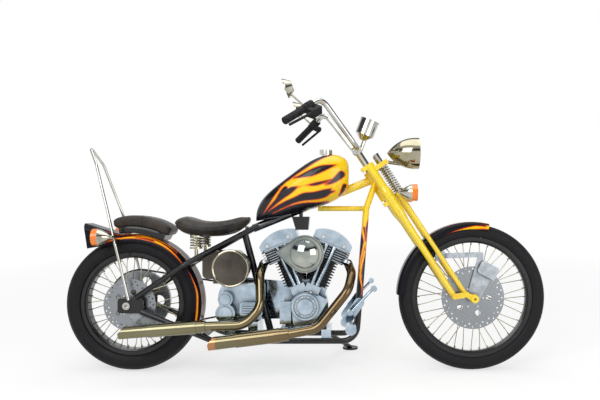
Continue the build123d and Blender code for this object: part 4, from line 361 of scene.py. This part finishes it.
nodePaint = {
    "yellowPaint": ["fork_rear_legs", "fork_front_legs", "fork_rockers"],
    "blackEnamel": ["frame_stays", "frame_rails", "frame_seat_post", "side_stand", "front_rim", "rear_rim",
                    "ignition_coil"],
    "chrome": ["fork_springs", "handlebar", "speedometer", "sissy_bar", "rear_axle", "fuel_cap"],
    "warmChrome": ["headlamp", "seat_springs", "front_hub_and_spokes", "rear_hub_and_spokes"],
    "blueChrome": ["crankcase", "cam_cover", "rocker_boxes", "pushrod_tubes", "gearbox", "primary_case",
                   "foot_controls"],
    "castAlloy": ["cylinder_heads", "carburettor", "rear_caliper", "front_caliper"],
    "finBlack": ["cylinders"],
    "rubber": ["grips", "hand_controls", "drive_belt"],
    "smokedPlate": ["oil_tank"],
    "mirrors": ["mirrors"],
    "frontPipe": ["front_exhaust"],
    "rearPipe": ["rear_exhaust", "heat_shields"],
    "coolChrome": ["air_cleaner"],
    "frontIndicator": ["front_indicators"],
    "rearIndicator": ["rear_indicators"],
    "tailLamp": ["tail_lamp"],
    "spine": ["frame_spine"],
    "frontDisc": ["front_brake_disc"],
    "rearDisc": ["rear_brake_disc", "rear_belt_pulley"],
    "frontTyre": ["front_tyre"],
    "rearTyre": ["rear_tyre"],
    "leather": ["rider_seat", "pillion_pad"],
    "flames": ["fuel_tank", "front_fender", "rear_fender", "frame_down_tubes"],
    "glass": ["headlamp_lens"],
}
for paintName, members in nodePaint.items():
    for member in members:
        if member in nodes:
            nodes[member].data.materials.clear()
            nodes[member].data.materials.append(paints[paintName])
unpainted = [node for node in nodes if not any(node.split(".")[0] in group for group in nodePaint.values())]
print("solids painted; without a finish:", unpainted[:8])


# Mesh helpers

def addPiece(name, mesh, paint, body, angle=35.0):
    # mesh comes upright in millimetres
    mesh.transform(toRow)
    piece = bpy.data.objects.new(name, mesh)
    scene.collection.objects.link(piece)
    mesh.materials.clear()
    mesh.materials.append(paints[paint])
    for face in mesh.polygons:
        face.use_smooth = True
    mesh.set_sharp_from_angle(angle=math.radians(angle))
    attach(piece, body)
    return piece


def fromBmesh(bm, name):
    bmesh.ops.recalc_face_normals(bm, faces=bm.faces)
    mesh = bpy.data.meshes.new(name)
    bm.to_mesh(mesh)
    bm.free()
    return mesh


def around(count):
    # Cosine and sine of equal steps round a circle
    turns = [2 * math.pi * k / count for k in range(count)]
    return [(math.cos(turn), math.sin(turn)) for turn in turns]


def turned(name, profile, place, segments=64, closed=False):
    # profile is (height along the axis, radius); place puts its z axis in the machine
    bm = bmesh.new()
    rings = []
    for height, radius in profile:
        if radius < 1e-6:
            rings.append([bm.verts.new(place @ Vector((0, 0, height)))])
            continue
        circle = [Vector((radius * c, radius * s, height)) for c, s in around(segments)]
        rings.append([bm.verts.new(place @ point) for point in circle])
    pairs = list(zip(rings, rings[1:])) + ([(rings[-1], rings[0])] if closed else [])
    for low, high in pairs:
        for k in range(segments):
            n = (k + 1) % segments
            corners = [low[k % len(low)], low[n % len(low)], high[n % len(high)], high[k % len(high)]]
            unique = list(dict.fromkeys(corners))
            if len(unique) > 2:
                bm.faces.new(unique)
    return fromBmesh(bm, name)


def bridged(bm, rings):
    # Faces between rings of as many points each
    for low, high in zip(rings, rings[1:]):
        for j in range(len(low)):
            n = (j + 1) % len(low)
            bm.faces.new([low[j], low[n], high[n], high[j]])


def facing(point, direction):
    # A frame at a point with its z axis along a direction
    turn = Vector(direction).normalized().to_track_quat("Z", "Y").to_matrix().to_4x4()
    return Matrix.Translation(Vector(point)) @ turn


def evaluated(piece):
    # The mesh that a piece's modifiers give, put in place of its own with the modifiers gone
    bpy.context.view_layer.update()
    mesh = bpy.data.meshes.new_from_object(piece.evaluated_get(bpy.context.evaluated_depsgraph_get()))
    piece.modifiers.clear()
    piece.data = mesh
    return mesh


def smoothLine(points, resolution=12):
    # The points of a NURBS spline through its control points' hull
    curve = bpy.data.curves.new("line", "CURVE")
    curve.dimensions = "3D"
    spline = curve.splines.new("NURBS")
    spline.points.add(len(points) - 1)
    for target, point in zip(spline.points, points):
        target.co = (*point, 1)
    spline.order_u = 3
    spline.use_endpoint_u = True
    spline.resolution_u = resolution
    curve.resolution_u = resolution
    carrier = bpy.data.objects.new("line", curve)
    mesh = bpy.data.meshes.new_from_object(carrier)
    line = [vertex.co.copy() for vertex in mesh.vertices]
    bpy.data.objects.remove(carrier)
    bpy.data.curves.remove(curve)
    bpy.data.meshes.remove(mesh)
    return line


def hose(name, points, radius, sides=10):
    # A tube along a smooth line, with closed ends
    line = smoothLine(points)
    bm = bmesh.new()
    rings = []
    normal = None
    for k, point in enumerate(line):
        ahead = (line[min(k + 1, len(line) - 1)] - line[max(k - 1, 0)]).normalized()
        if normal is None:
            normal = ahead.orthogonal().normalized()
        normal = (normal - ahead * normal.dot(ahead)).normalized()
        other = ahead.cross(normal)
        rings.append([bm.verts.new(point + radius * (c * normal + s * other)) for c, s in around(sides)])
    bridged(bm, rings)
    bm.faces.new(list(reversed(rings[0])))
    bm.faces.new(rings[-1])
    return fromBmesh(bm, name)


# Studs, bolts and nipples: one Geometry Nodes tree puts a shaped head on each point of a mesh

def studTree():
    tree = bpy.data.node_groups.new("studs", "GeometryNodeTree")
    face = tree.interface
    face.new_socket("Geometry", in_out="INPUT", socket_type="NodeSocketGeometry")
    kinds = {"sides": "Int", "headHeight": "Float", "collarWidth": "Float", "paint": "Material"}
    for name, kind in kinds.items():
        face.new_socket(name, in_out="INPUT", socket_type="NodeSocket" + kind)
    face.new_socket("Geometry", in_out="OUTPUT", socket_type="NodeSocketGeometry")
    given = tree.nodes.new("NodeGroupInput").outputs
    half = calc(tree, "MULTIPLY", given["headHeight"], 0.5)
    head = wire(tree, "GeometryNodeMeshCylinder", {"fill_type": "TRIANGLE_FAN"}, Vertices=given["sides"],
                Radius=0.001, Depth=given["headHeight"])
    lift = wire(tree, "ShaderNodeCombineXYZ", i2=half).outputs[0]
    headUp = wire(tree, "GeometryNodeTransform", Geometry=head.outputs[0], Translation=lift)
    collar = wire(tree, "GeometryNodeMeshCylinder", {"fill_type": "TRIANGLE_FAN"}, Vertices=14,
                  Radius=given["collarWidth"], Depth=0.0005)
    both = wire(tree, "GeometryNodeJoinGeometry")
    tree.links.new(headUp.outputs[0], both.inputs[0])
    tree.links.new(collar.outputs[0], both.inputs[0])
    way = wire(tree, "GeometryNodeInputNamedAttribute", {"data_type": "FLOAT_VECTOR"}, Name="facing")
    size = wire(tree, "GeometryNodeInputNamedAttribute", {"data_type": "FLOAT"}, Name="size").outputs[0]
    turn = wire(tree, "FunctionNodeAlignRotationToVector", {"axis": "Z"}, Vector=way.outputs[0]).outputs[0]
    spots = wire(tree, "GeometryNodeInstanceOnPoints", Points=given["Geometry"], Instance=both.outputs[0],
                 Rotation=turn, Scale=size)
    real = wire(tree, "GeometryNodeRealizeInstances", Geometry=spots.outputs[0])
    painted = wire(tree, "GeometryNodeSetMaterial", Geometry=real.outputs[0], Material=given["paint"])
    out = tree.nodes.new("NodeGroupOutput")
    tree.links.new(painted.outputs[0], out.inputs[0])
    return tree


studs = studTree()


def studField(name, spots, paint, body, sides=6, headHeight=0.0011, collarWidth=0.00125):
    # spots are (point, direction, head radius), upright in millimetres
    mesh = bpy.data.meshes.new(name)
    mesh.from_pydata([toRow @ Vector(point) for point, direction, radius in spots], [], [])
    turn = leanTurn.to_3x3()
    ways = [part for point, direction, radius in spots for part in turn @ Vector(direction).normalized()]
    # a new attribute moves the others in memory, so each is looked up by name when it is filled
    mesh.attributes.new("facing", "FLOAT_VECTOR", "POINT")
    mesh.attributes.new("size", "FLOAT", "POINT")
    mesh.attributes["facing"].data.foreach_set("vector", ways)
    mesh.attributes["size"].data.foreach_set("value", [radius for point, direction, radius in spots])
    piece = bpy.data.objects.new(name, mesh)
    scene.collection.objects.link(piece)
    growth = piece.modifiers.new("studs", "NODES")
    growth.node_group = studs
    values = {"sides": sides, "headHeight": headHeight, "collarWidth": collarWidth, "paint": paints[paint]}
    for item in studs.interface.items_tree:
        if item.item_type == "SOCKET" and item.in_out == "INPUT" and item.name in values:
            growth[item.identifier] = values[item.name]
    evaluated(piece)
    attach(piece, body)
    return piece


# Flames: each lick is a tapering chain of (u, v, radius), and a drop is a black hole in them

def chainReach(u, v, chain):
    best = -1e9
    for (u0, v0, r0), (u1, v1, r1) in zip(chain, chain[1:]):
        du, dv = u1 - u0, v1 - v0
        t = max(0.0, min(1.0, ((u - u0) * du + (v - v0) * dv) / (du * du + dv * dv)))
        best = max(best, r0 + (r1 - r0) * t - math.hypot(u - u0 - du * t, v - v0 - dv * t))
    return best


def roundedChain(chain, steps=5):
    # Chaikin-like smoothing of a chain, so that licks curve
    smooth = [chain[0]]
    for k in range(1, len(chain) - 1):
        a, b, c = (Vector(p) for p in chain[k - 1:k + 2])
        start, end = (a + b) / 2 if k > 1 else a, (b + c) / 2 if k < len(chain) - 2 else c
        for j in range(1, steps + 1):
            t = j / steps
            smooth.append(tuple(start * (1 - t) ** 2 + b * 2 * t * (1 - t) + end * t ** 2))
    return smooth


def denseCopy(node, longest):
    # A merged copy of a solid's mesh, upright in millimetres, with no edge longer than a length
    bm = bmesh.new()
    bm.from_mesh(nodes[node].data)
    bmesh.ops.transform(bm, matrix=toRow.inverted(), verts=bm.verts)
    bmesh.ops.remove_doubles(bm, verts=bm.verts, dist=0.02)
    for turn in range(7):
        long = [edge for edge in bm.edges if edge.calc_length() > longest]
        if not long:
            break
        bmesh.ops.subdivide_edges(bm, edges=long, cuts=1)
        bmesh.ops.triangulate(bm, faces=[face for face in bm.faces if len(face.verts) > 3])
    return bm


paintReach = (-12.0, 30.0)


def flamed(name, node, body, spec, mapping):
    # The solid again, with each point's way into the nearest flame and its place along the flames
    licks = [roundedChain(lick) for lick in spec["licks"]]
    drops = [roundedChain(drop) for drop in spec["drops"]]
    root, tips = spec["heat"]
    bm = denseCopy(node, spec["longestEdge"])
    mesh = bpy.data.meshes.new(name)
    bm.to_mesh(mesh)
    bm.free()
    edges, heats = [], []
    for vertex in mesh.vertices:
        u, v = mapping(vertex.co)
        reach = max(chainReach(u, v, lick) for lick in licks)
        for drop in drops:
            reach = min(reach, -chainReach(u, v, drop))
        edges.append(max(paintReach[0], min(paintReach[1], reach)))
        heats.append(max(0.0, min(1.0, (u - root) / (tips - root))))
    mesh.attributes.new("edge", "FLOAT", "POINT")
    mesh.attributes.new("heat", "FLOAT", "POINT")
    mesh.attributes["edge"].data.foreach_set("value", edges)
    mesh.attributes["heat"].data.foreach_set("value", heats)
    piece = addPiece(name, mesh, "fenderFlames" if "fender" in node else "flames", body, 30.0)
    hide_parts(node)
    return piece


tankFlames = {
    "longestEdge": 9.0,
    "licks": [
        [(1010, 985, 30), (1000, 930, 46), (985, 880, 42), (955, 830, 28), (930, 800, 16)],
        [(1000, 990, 34), (940, 985, 26), (870, 965, 12), (800, 925, 7), (730, 880, 4), (690, 850, 1)],
        [(990, 940, 34), (920, 912, 24), (850, 890, 16), (790, 878, 22), (740, 876, 18), (690, 830, 10),
         (650, 780, 5), (616, 735, 1)],
        [(985, 880, 24), (910, 862, 14), (850, 845, 14), (800, 850, 20), (760, 820, 12), (700, 790, 6),
         (640, 745, 1)],
        [(970, 840, 22), (930, 806, 12), (870, 792, 7), (800, 790, 5), (730, 770, 3), (660, 735, 1)],
    ],
    "drops": [
        [(978, 915, 15), (955, 893, 12), (925, 872, 4), (905, 866, 1)],
        [(992, 862, 9), (984, 840, 8), (968, 818, 2)],
        [(948, 838, 1), (915, 830, 9), (880, 823, 8), (835, 815, 1)],
        [(722, 848, 11), (700, 828, 9), (676, 800, 1)],
        [(842, 915, 9), (800, 905, 6), (760, 900, 1)],
    ],
    "heat": (1000, 640),
}
flamed("flamedTank", "fuel_tank", "frame", tankFlames, lambda p: (p.x, p.z))


def aroundWheel(axleX, axleZ, crown):
    # Four times the angle about the axle, and the way out from the middle plane and down the side
    def mapping(p):
        below = max(0.0, crown - math.hypot(p.x - axleX, p.z - axleZ))
        return 4 * math.degrees(math.atan2(p.z - axleZ, p.x - axleX)), abs(p.y) + below
    return mapping


frontFenderFlames = {
    "longestEdge": 8.0, "crown": 354.0,
    "licks": [
        [(270, 68, 11), (310, 68, 12), (350, 80, 9), (400, 90, 7), (450, 94, 5), (520, 98, 1)],
        [(270, 24, 20), (330, 30, 12), (390, 22, 8), (450, 30, 5), (510, 26, 1)],
        [(330, 104, 3), (400, 108, 4), (470, 98, 4), (540, 104, 3), (600, 98, 1)],
    ],
    "drops": [[(322, 66, 4), (346, 66, 3), (376, 72, 1)]],
    "heat": (300, 560),
}
flamed("flamedFrontFender", "front_fender", "fork", frontFenderFlames,
       aroundWheel(machine["wheelbase"], machine["frontAxle"], frontFenderFlames["crown"]))
rearFenderFlames = {
    "longestEdge": 9.0, "crown": 326.5,
    "licks": [
        [(150, 98, 2), (200, 92, 5), (250, 86, 8), (300, 86, 12), (350, 90, 8), (400, 94, 6), (450, 98, 1)],
        [(190, 72, 2), (250, 64, 5), (310, 70, 7), (370, 62, 4), (430, 66, 1)],
        [(-90, 84, 3), (-50, 88, 8), (0, 92, 6), (40, 84, 7), (80, 90, 3), (120, 92, 1)],
        [(-60, 40, 9), (50, 46, 6), (150, 36, 5), (250, 44, 4), (330, 40, 1)],
    ],
    "drops": [[(282, 86, 4), (310, 88, 3), (340, 92, 1)]],
    "heat": (390, -140),
}
flamed("flamedRearFender", "rear_fender", "frame", rearFenderFlames,
       aroundWheel(0, machine["rearAxle"], rearFenderFlames["crown"]))

tubePath = {"bendX": 1094, "bendZ": 760, "below": 0.079, "above": 0.3, "across": 1.3, "sway": 9, "pitch": 34}


def downTubeMap(p):
    # Down from the neck, and round the tube by how far a point lies to the front
    slope = tubePath["below"] if p.z < tubePath["bendZ"] else tubePath["above"]
    middle = tubePath["bendX"] + (p.z - tubePath["bendZ"]) * slope
    sway = tubePath["sway"] * math.sin(p.z / tubePath["pitch"])
    return -p.z, (p.x - middle) * tubePath["across"] + sway


tubeFlames = {
    "longestEdge": 7.0,
    "licks": [
        [(-960, 0, 60), (-760, 0, 40), (-700, 4, 18), (-640, -8, 11), (-600, 2, 8), (-560, 8, 4),
         (-520, 4, 1)],
        [(-700, -10, 16), (-650, 10, 8), (-590, -8, 7), (-540, -12, 5), (-480, 0, 6), (-440, 6, 2)],
        [(-560, 2, 7), (-500, 8, 6), (-440, -6, 7), (-400, 4, 4), (-360, 0, 1)],
    ],
    "drops": [[(-668, 2, 5), (-640, 4, 4), (-610, 0, 1)]],
    "heat": (-760, -380),
}
flamed("flamedDownTubes", "frame_down_tubes", "frame", tubeFlames, downTubeMap)
print("flames painted")


# Tyres with a grooved tread

beadTuck = {"inward": 6, "outward": 4}


def tyrePiece(name, node, body, paint, spec):
    # side is (half width, radius) from the bead to the crown, and a pass at each step cuts the grooves
    half = spec["side"]
    profile = [(-y, r) for y, r in half] + [(y, r) for y, r in reversed(half)]
    grooved = []
    for (y0, r0), (y1, r1) in zip(profile, profile[1:]):
        steps = max(1, int(abs(y1 - y0) / spec["step"])) if max(r0, r1) > spec["treadFrom"] else 2
        for j in range(steps):
            y, r = y0 + (y1 - y0) * j / steps, r0 + (r1 - r0) * j / steps
            depth = sum(spec["grooveDepth"] for groove in spec["grooves"]
                        if abs(abs(y) - groove) < spec["grooveHalf"])
            grooved.append((y, r - (depth if r > spec["treadFrom"] else 0)))
    grooved.append(profile[-1])
    inner = [(y - math.copysign(beadTuck["inward"], y), r + beadTuck["outward"])
             for y, r in (profile[-1], profile[0])]
    place = facing(spec["center"], (0, 1, 0))
    mesh = turned(name, grooved + inner, place, spec["segments"], closed=True)
    piece = addPiece(name, mesh, paint, body, 28.0)
    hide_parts(node)
    return piece


frontTyre = {
    "center": (machine["wheelbase"], 0, machine["frontAxle"]), "segments": 144, "step": 2.0,
    "treadFrom": 328.0,
    "side": [(29, 281.2), (36, 284), (41.5, 296), (43, 310), (40.5, 324), (33, 334), (22, 340), (10, 342.6),
             (0, 343)],
    "grooves": [0.0, 12.0, 24.0], "grooveHalf": 1.4, "grooveDepth": 3.0,
}
rearTyre = {
    "center": (0, 0, machine["rearAxle"]), "segments": 144, "step": 2.0, "treadFrom": 296.0,
    "side": [(43, 240.2), (52, 244), (60, 258), (62, 274), (59, 290), (50, 302), (36, 309), (18, 313),
             (0, 314)],
    "grooves": [8.0, 24.0, 40.0], "grooveHalf": 1.6, "grooveDepth": 3.5,
}
tyrePiece("treadedFrontTyre", "front_tyre", "front_wheel", "frontTyre", frontTyre)
tyrePiece("treadedRearTyre", "rear_tyre", "rear_wheel", "rearTyre", rearTyre)
print("tyres made")


# Seats

def sectionAt(sections, t):
    # A section on the smooth line through the given ones
    i = min(int(t), len(sections) - 2)
    f = t - i
    p0, p1, p2, p3 = (Vector(sections[max(0, min(len(sections) - 1, i + o))]) for o in (-1, 0, 1, 2))
    return 0.5 * ((2 * p1) + (p2 - p0) * f + (2 * p0 - 5 * p1 + 4 * p2 - p3) * f * f
                  + (3 * p1 - p0 - 3 * p2 + p3) * f ** 3)


def squared(value, power):
    # Pushes a unit circle's coordinate out towards a square's
    return math.copysign(abs(value) ** power, value)


def loftedPad(name, spec):
    # Sections along the seat: x, half width, low, high, each a squared ring of points
    bm = bmesh.new()
    rings = []
    sections, power = spec["sections"], spec["square"]
    for k in range(spec["along"] + 1):
        x, half, low, high = sectionAt(sections, k / spec["along"] * (len(sections) - 1))
        middle, tall = (low + high) / 2, (high - low) / 2
        ring = [spec["place"](x, half * squared(c, power), middle + tall * squared(s, power))
                for c, s in around(spec["around"])]
        rings.append([bm.verts.new(point) for point in ring])
    bridged(bm, rings)
    for ring in (rings[0], rings[-1]):
        bm.faces.new(ring)
    return fromBmesh(bm, name)


def puffed(name, mesh, body, node, spec):
    # Remesh, swell under pressure, keep each point near where it was, and smooth
    mesh.transform(toRow)
    pad = bpy.data.objects.new(name, mesh)
    scene.collection.objects.link(pad)
    remesh = pad.modifiers.new("even", "REMESH")
    remesh.mode, remesh.voxel_size = "VOXEL", spec["voxel"]
    even = evaluated(pad)
    start = [vertex.co.copy() for vertex in even.vertices]
    cloth = pad.modifiers.new("puff", "CLOTH")
    cloth.settings.use_pressure = True
    cloth.settings.uniform_pressure_force = spec["pressure"]
    cloth.settings.effector_weights.gravity = 0
    cloth.settings.quality = 5
    for step in range(1, spec["frames"] + 1):
        scene.frame_set(step)
    for vertex, old in zip(evaluated(pad).vertices, start):
        move = vertex.co - old
        if move.length > spec["cap"]:
            vertex.co = old + move * (spec["cap"] / move.length)
    scene.frame_set(1)
    soften = pad.modifiers.new("soften", "SMOOTH")
    soften.factor, soften.iterations = 0.5, spec["soften"]
    fine = pad.modifiers.new("fine", "SUBSURF")
    fine.levels = fine.render_levels = 1
    final = evaluated(pad)
    final.materials.clear()
    final.materials.append(paints["leather"])
    for face in final.polygons:
        face.use_smooth = True
    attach(pad, body)
    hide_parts(node)
    return pad


riderSeat = {
    "sections": [(208, 78, 694, 708), (224, 128, 668, 717), (258, 150, 645, 716), (310, 158, 634, 699),
                 (370, 150, 634, 693), (430, 120, 638, 697), (480, 82, 652, 708), (520, 52, 678, 721),
                 (545, 32, 702, 727)],
    "along": 34, "around": 44, "square": 0.72, "place": lambda x, y, z: (x, y, z),
    "voxel": 0.0055, "pressure": 3.5, "frames": 14, "cap": 0.006, "soften": 6, "fill": 0.7,
}


def onFender(angle, y, radius):
    turn = math.radians(angle)
    return (radius * math.cos(turn), y, machine["rearAxle"] + radius * math.sin(turn))


pillion = {
    "sections": [(61, 78, 362, 396), (64, 88, 357, 404), (70, 91, 356, 408), (82, 91, 356, 409),
                 (94, 89, 356, 408), (100, 85, 358, 404), (102, 74, 363, 396)],
    "along": 30, "around": 44, "square": 0.5, "place": onFender,
    "voxel": 0.005, "pressure": 3.5, "frames": 14, "cap": 0.005, "soften": 5, "fill": 0.8,
}
puffed("sprungSaddle", loftedPad("saddle", riderSeat), "frame", "rider_seat", riderSeat)
puffed("pillionCushion", loftedPad("pillion", pillion), "frame", "pillion_pad", pillion)
pillionBase = {
    "sections": [(63, 72, 331, 366), (68, 82, 330, 368), (82, 84, 330, 368), (94, 82, 330, 368),
                 (99, 70, 331, 366)],
    "along": 24, "around": 40, "square": 0.35, "place": onFender,
}
addPiece("pillionBase", loftedPad("pillionBase", pillionBase), "blackEnamel", "frame")
piping = {"radius": 3.2, "out": 2.0, "down": 5.0}
edgeLine = [(x, half + piping["out"], (low + high) / 2 - piping["down"])
            for x, half, low, high in riderSeat["sections"]]
edgeLine = edgeLine + [(x, -y, z) for x, y, z in reversed(edgeLine)] + edgeLine[:1]
pipingMesh = hose("saddlePiping", edgeLine, piping["radius"])
addPiece("saddlePiping", pipingMesh, "leather", "frame")
print("seats made")


# Bolts: each is (point, direction, head radius)

engine = {
    "crank": (812, 308), "halfVee": 22.5,
    "rockerBolts": {"x": (-46, 60), "z": (327, 322), "face": 74.2, "head": 6.5},
    "camRing": {"count": 10, "reach": 45, "face": -110.5, "head": 3.4},
    "camCover": {"spots": ((756, 332), (838, 374), (910, 332), (846, 230), (762, 230)), "face": -104.6,
                 "head": 4.0},
    "primary": {"count": 14, "front": ((812, 308), 78), "rear": ((476, 322), 98), "face": 158.4, "head": 3.6},
}
bolts = []


def onCylinder(side, x, y, z):
    # A place beside one cylinder's axis, and up it from the crank
    turn = math.radians(engine["halfVee"] * side)
    c, s = math.cos(turn), math.sin(turn)
    crankX, crankZ = engine["crank"]
    return crankX + x * c + z * s, y, crankZ - x * s + z * c


rocker = engine["rockerBolts"]
for side in (1, -1):
    for x, z in zip(rocker["x"], rocker["z"]):
        for face in (-1, 1):
            bolts.append((onCylinder(side, x * side, face * rocker["face"], z), (0, face, 0), rocker["head"]))
cam = engine["camRing"]
for c, s in around(cam["count"]):
    spot = (engine["crank"][0] + cam["reach"] * c, cam["face"], engine["crank"][1] + cam["reach"] * s)
    bolts.append((spot, (0, -1, 0), cam["head"]))
for x, z in engine["camCover"]["spots"]:
    bolts.append(((x, engine["camCover"]["face"], z), (0, -1, 0), engine["camCover"]["head"]))
primary = engine["primary"]
for c, s in around(primary["count"]):
    middle, reach = primary["front"] if c > 0 else primary["rear"]
    spot = (middle[0] + reach * c, primary["face"], middle[1] + reach * s)
    bolts.append((spot, (0, 1, 0), primary["head"]))
studField("engineBolts", bolts, "boltZinc", "frame")


def innerReach(node, hub):
    # The smallest distance of a wheel's solid from its axle, upright in millimetres
    back = toRow.inverted()
    spots = [back @ vertex.co for vertex in nodes[node].data.vertices]
    return min(math.hypot(spot.x - hub[0], spot.z - hub[1]) for spot in spots)


wheels = {
    "front": {"body": "front_wheel", "hub": (machine["wheelbase"], machine["frontAxle"]), "rim": "front_rim",
              "disc": -50.0},
    "rear": {"body": "rear_wheel", "hub": (0.0, machine["rearAxle"]), "rim": "rear_rim", "disc": -85.0},
}
spoking = {"count": 40, "offset": 7.0, "proud": 0.5, "radius": 2.6, "height": 0.0045, "collar": 0.0014,
           "sides": 6}
discBolts = {"count": 6, "reach": 46.0, "head": 4.5}
for end, wheel in wheels.items():
    hubX, hubZ = wheel["hub"]
    rimReach = innerReach(wheel["rim"], wheel["hub"]) + spoking["proud"]
    print(end, "rim inner face at", round(rimReach, 1), "mm")
    nipples = []
    for k, (c, s) in enumerate(around(spoking["count"])):
        out = Vector((c, 0, s))
        spot = Vector((hubX, spoking["offset"] * (1 if k % 2 else -1), hubZ)) + rimReach * out
        nipples.append((spot, -out, spoking["radius"]))
    studField(end + "Nipples", nipples, "warmChrome", wheel["body"], spoking["sides"],
              spoking["height"], spoking["collar"])
    ring = [((hubX + discBolts["reach"] * c, wheel["disc"], hubZ + discBolts["reach"] * s), (0, -1, 0),
             discBolts["head"]) for c, s in around(discBolts["count"])]
    studField(end + "DiscBolts", ring, "boltZinc", wheel["body"])
tankCap = {"center": (479, -170, 488),
           "profile": [(0, 70), (4, 74), (7, 77), (8, 80), (7, 83), (3, 85), (0, 85)]}
capRing = turned("oilTankRing", tankCap["profile"], facing(tankCap["center"], (0, -1, 0)), 72, closed=True)
addPiece("oilTankRing", capRing, "warmChrome", "frame")
print("bolts and nipples made")


# Studio: a pale floor that fades into a white backdrop. Camera, metal and glass see the same background.

studio = {"floor": 40.0, "floorTone": 0.80, "key": 80.0, "fill": 36.0, "top": 50.0, "world": 0.32,
          "glow": 0.66, "shade": 0.40, "fadeFrom": 1.5, "fadeTo": 3.4}
floorMesh = bpy.data.meshes.new("studioFloor")
edge = studio["floor"]
corners = [(-edge, -edge, 0), (edge, -edge, 0), (edge, edge, 0), (-edge, edge, 0)]
floorMesh.from_pydata(corners, [], [(0, 1, 2, 3)])
floorMaterial, tree, shader = blank("studioFloor")
shader.inputs["Base Color"].default_value = (studio["floorTone"],) * 3 + (1,)
shader.inputs["Roughness"].default_value = 0.9


def backgroundRay(tree):
    rays = wire(tree, "ShaderNodeLightPath").outputs
    mirrored = calc(tree, "MAXIMUM", rays["Is Glossy Ray"], rays["Is Transmission Ray"])
    return calc(tree, "MAXIMUM", rays["Is Camera Ray"], mirrored)


place = wire(tree, "ShaderNodeTexCoord").outputs["Object"]
reach = wire(tree, "ShaderNodeVectorMath", {"operation": "LENGTH"}, i0=place).outputs["Value"]
far = spread(tree, reach, studio["fadeFrom"], studio["fadeTo"])
glow = wire(tree, "ShaderNodeEmission", Color=(1, 1, 1, 1), Strength=studio["glow"])
dim = wire(tree, "ShaderNodeBsdfDiffuse", Color=(studio["shade"],) * 3 + (1,))
near = wire(tree, "ShaderNodeAddShader", i0=glow.outputs[0], i1=dim.outputs[0])
white = wire(tree, "ShaderNodeEmission", Color=(1, 1, 1, 1), Strength=1.0)
shown = wire(tree, "ShaderNodeMixShader", i0=far, i1=near.outputs[0], i2=white.outputs[0])
choose = wire(tree, "ShaderNodeMixShader", i0=backgroundRay(tree), i1=shader.outputs[0], i2=shown.outputs[0])
tree.links.new(choose.outputs[0], tree.nodes["Material Output"].inputs[0])
floorMesh.materials.append(floorMaterial)
floor = bpy.data.objects.new("studioFloor", floorMesh)
scene.collection.objects.link(floor)

world = bpy.data.worlds.new("studioWorld")
scene.world = world
world.use_nodes = True
tree = world.node_tree
tree.nodes.clear()
skyward = wire(tree, "ShaderNodeTexCoord").outputs["Generated"]
height = wire(tree, "ShaderNodeSeparateXYZ", i0=skyward).outputs[2]
room = ramp(tree, spread(tree, height, 0.0, 1.0), [
    (0.0, (1.0, 1.0, 1.0)), (0.32, (1.0, 1.0, 1.0)), (0.42, (0.10, 0.10, 0.11)), (0.58, (0.07, 0.07, 0.08)),
    (0.70, (0.75, 0.77, 0.80)), (1.0, (0.95, 0.96, 1.0))])
backdrop = wire(tree, "ShaderNodeBackground", Color=room, Strength=1.0)
lit = wire(tree, "ShaderNodeBackground", Color=(1, 1, 1, 1), Strength=studio["world"])
final = wire(tree, "ShaderNodeMixShader", i0=backgroundRay(tree), i1=lit.outputs[0], i2=backdrop.outputs[0])
output = tree.nodes.new("ShaderNodeOutputWorld")
tree.links.new(final.outputs[0], output.inputs[0])

lamps = {
    "keyLamp": {"at": (-1.4, -3.2, 3.0), "size": 2.4, "power": studio["key"]},
    "fillLamp": {"at": (2.6, -3.0, 1.6), "size": 2.0, "power": studio["fill"]},
    "topLamp": {"at": (0.2, 0.4, 3.6), "size": 3.0, "power": studio["top"]},
}
lampTarget = Vector((0, 0, 0.5))
for name, spec in lamps.items():
    lamp = bpy.data.lights.new(name, "AREA")
    lamp.energy, lamp.size = spec["power"], spec["size"]
    lampObject = bpy.data.objects.new(name, lamp)
    lampObject.location = spec["at"]
    lampObject.rotation_euler = (lampTarget - Vector(spec["at"])).to_track_quat("-Z", "Y").to_euler()
    scene.collection.objects.link(lampObject)

# The camera stands upright in millimetres like everything else, and leans with the machine
view = {"eye": (1005.8, -3400.0, 723.8), "lens": 43.1, "shiftX": -0.0792, "shiftY": 0.0267}
camera = bpy.data.cameras.new("photoCamera")
camera.lens, camera.sensor_width = view["lens"], 36.0
camera.shift_x, camera.shift_y = view["shiftX"], view["shiftY"]
cameraObject = bpy.data.objects.new("photoCamera", camera)
cameraObject.location = toRow @ Vector(view["eye"])
cameraObject.rotation_euler = (math.radians(90 + machine["lean"]), 0, 0)
scene.collection.objects.link(cameraObject)
scene.camera = cameraObject
scene.view_settings.view_transform = "Standard"
print("studio ready")
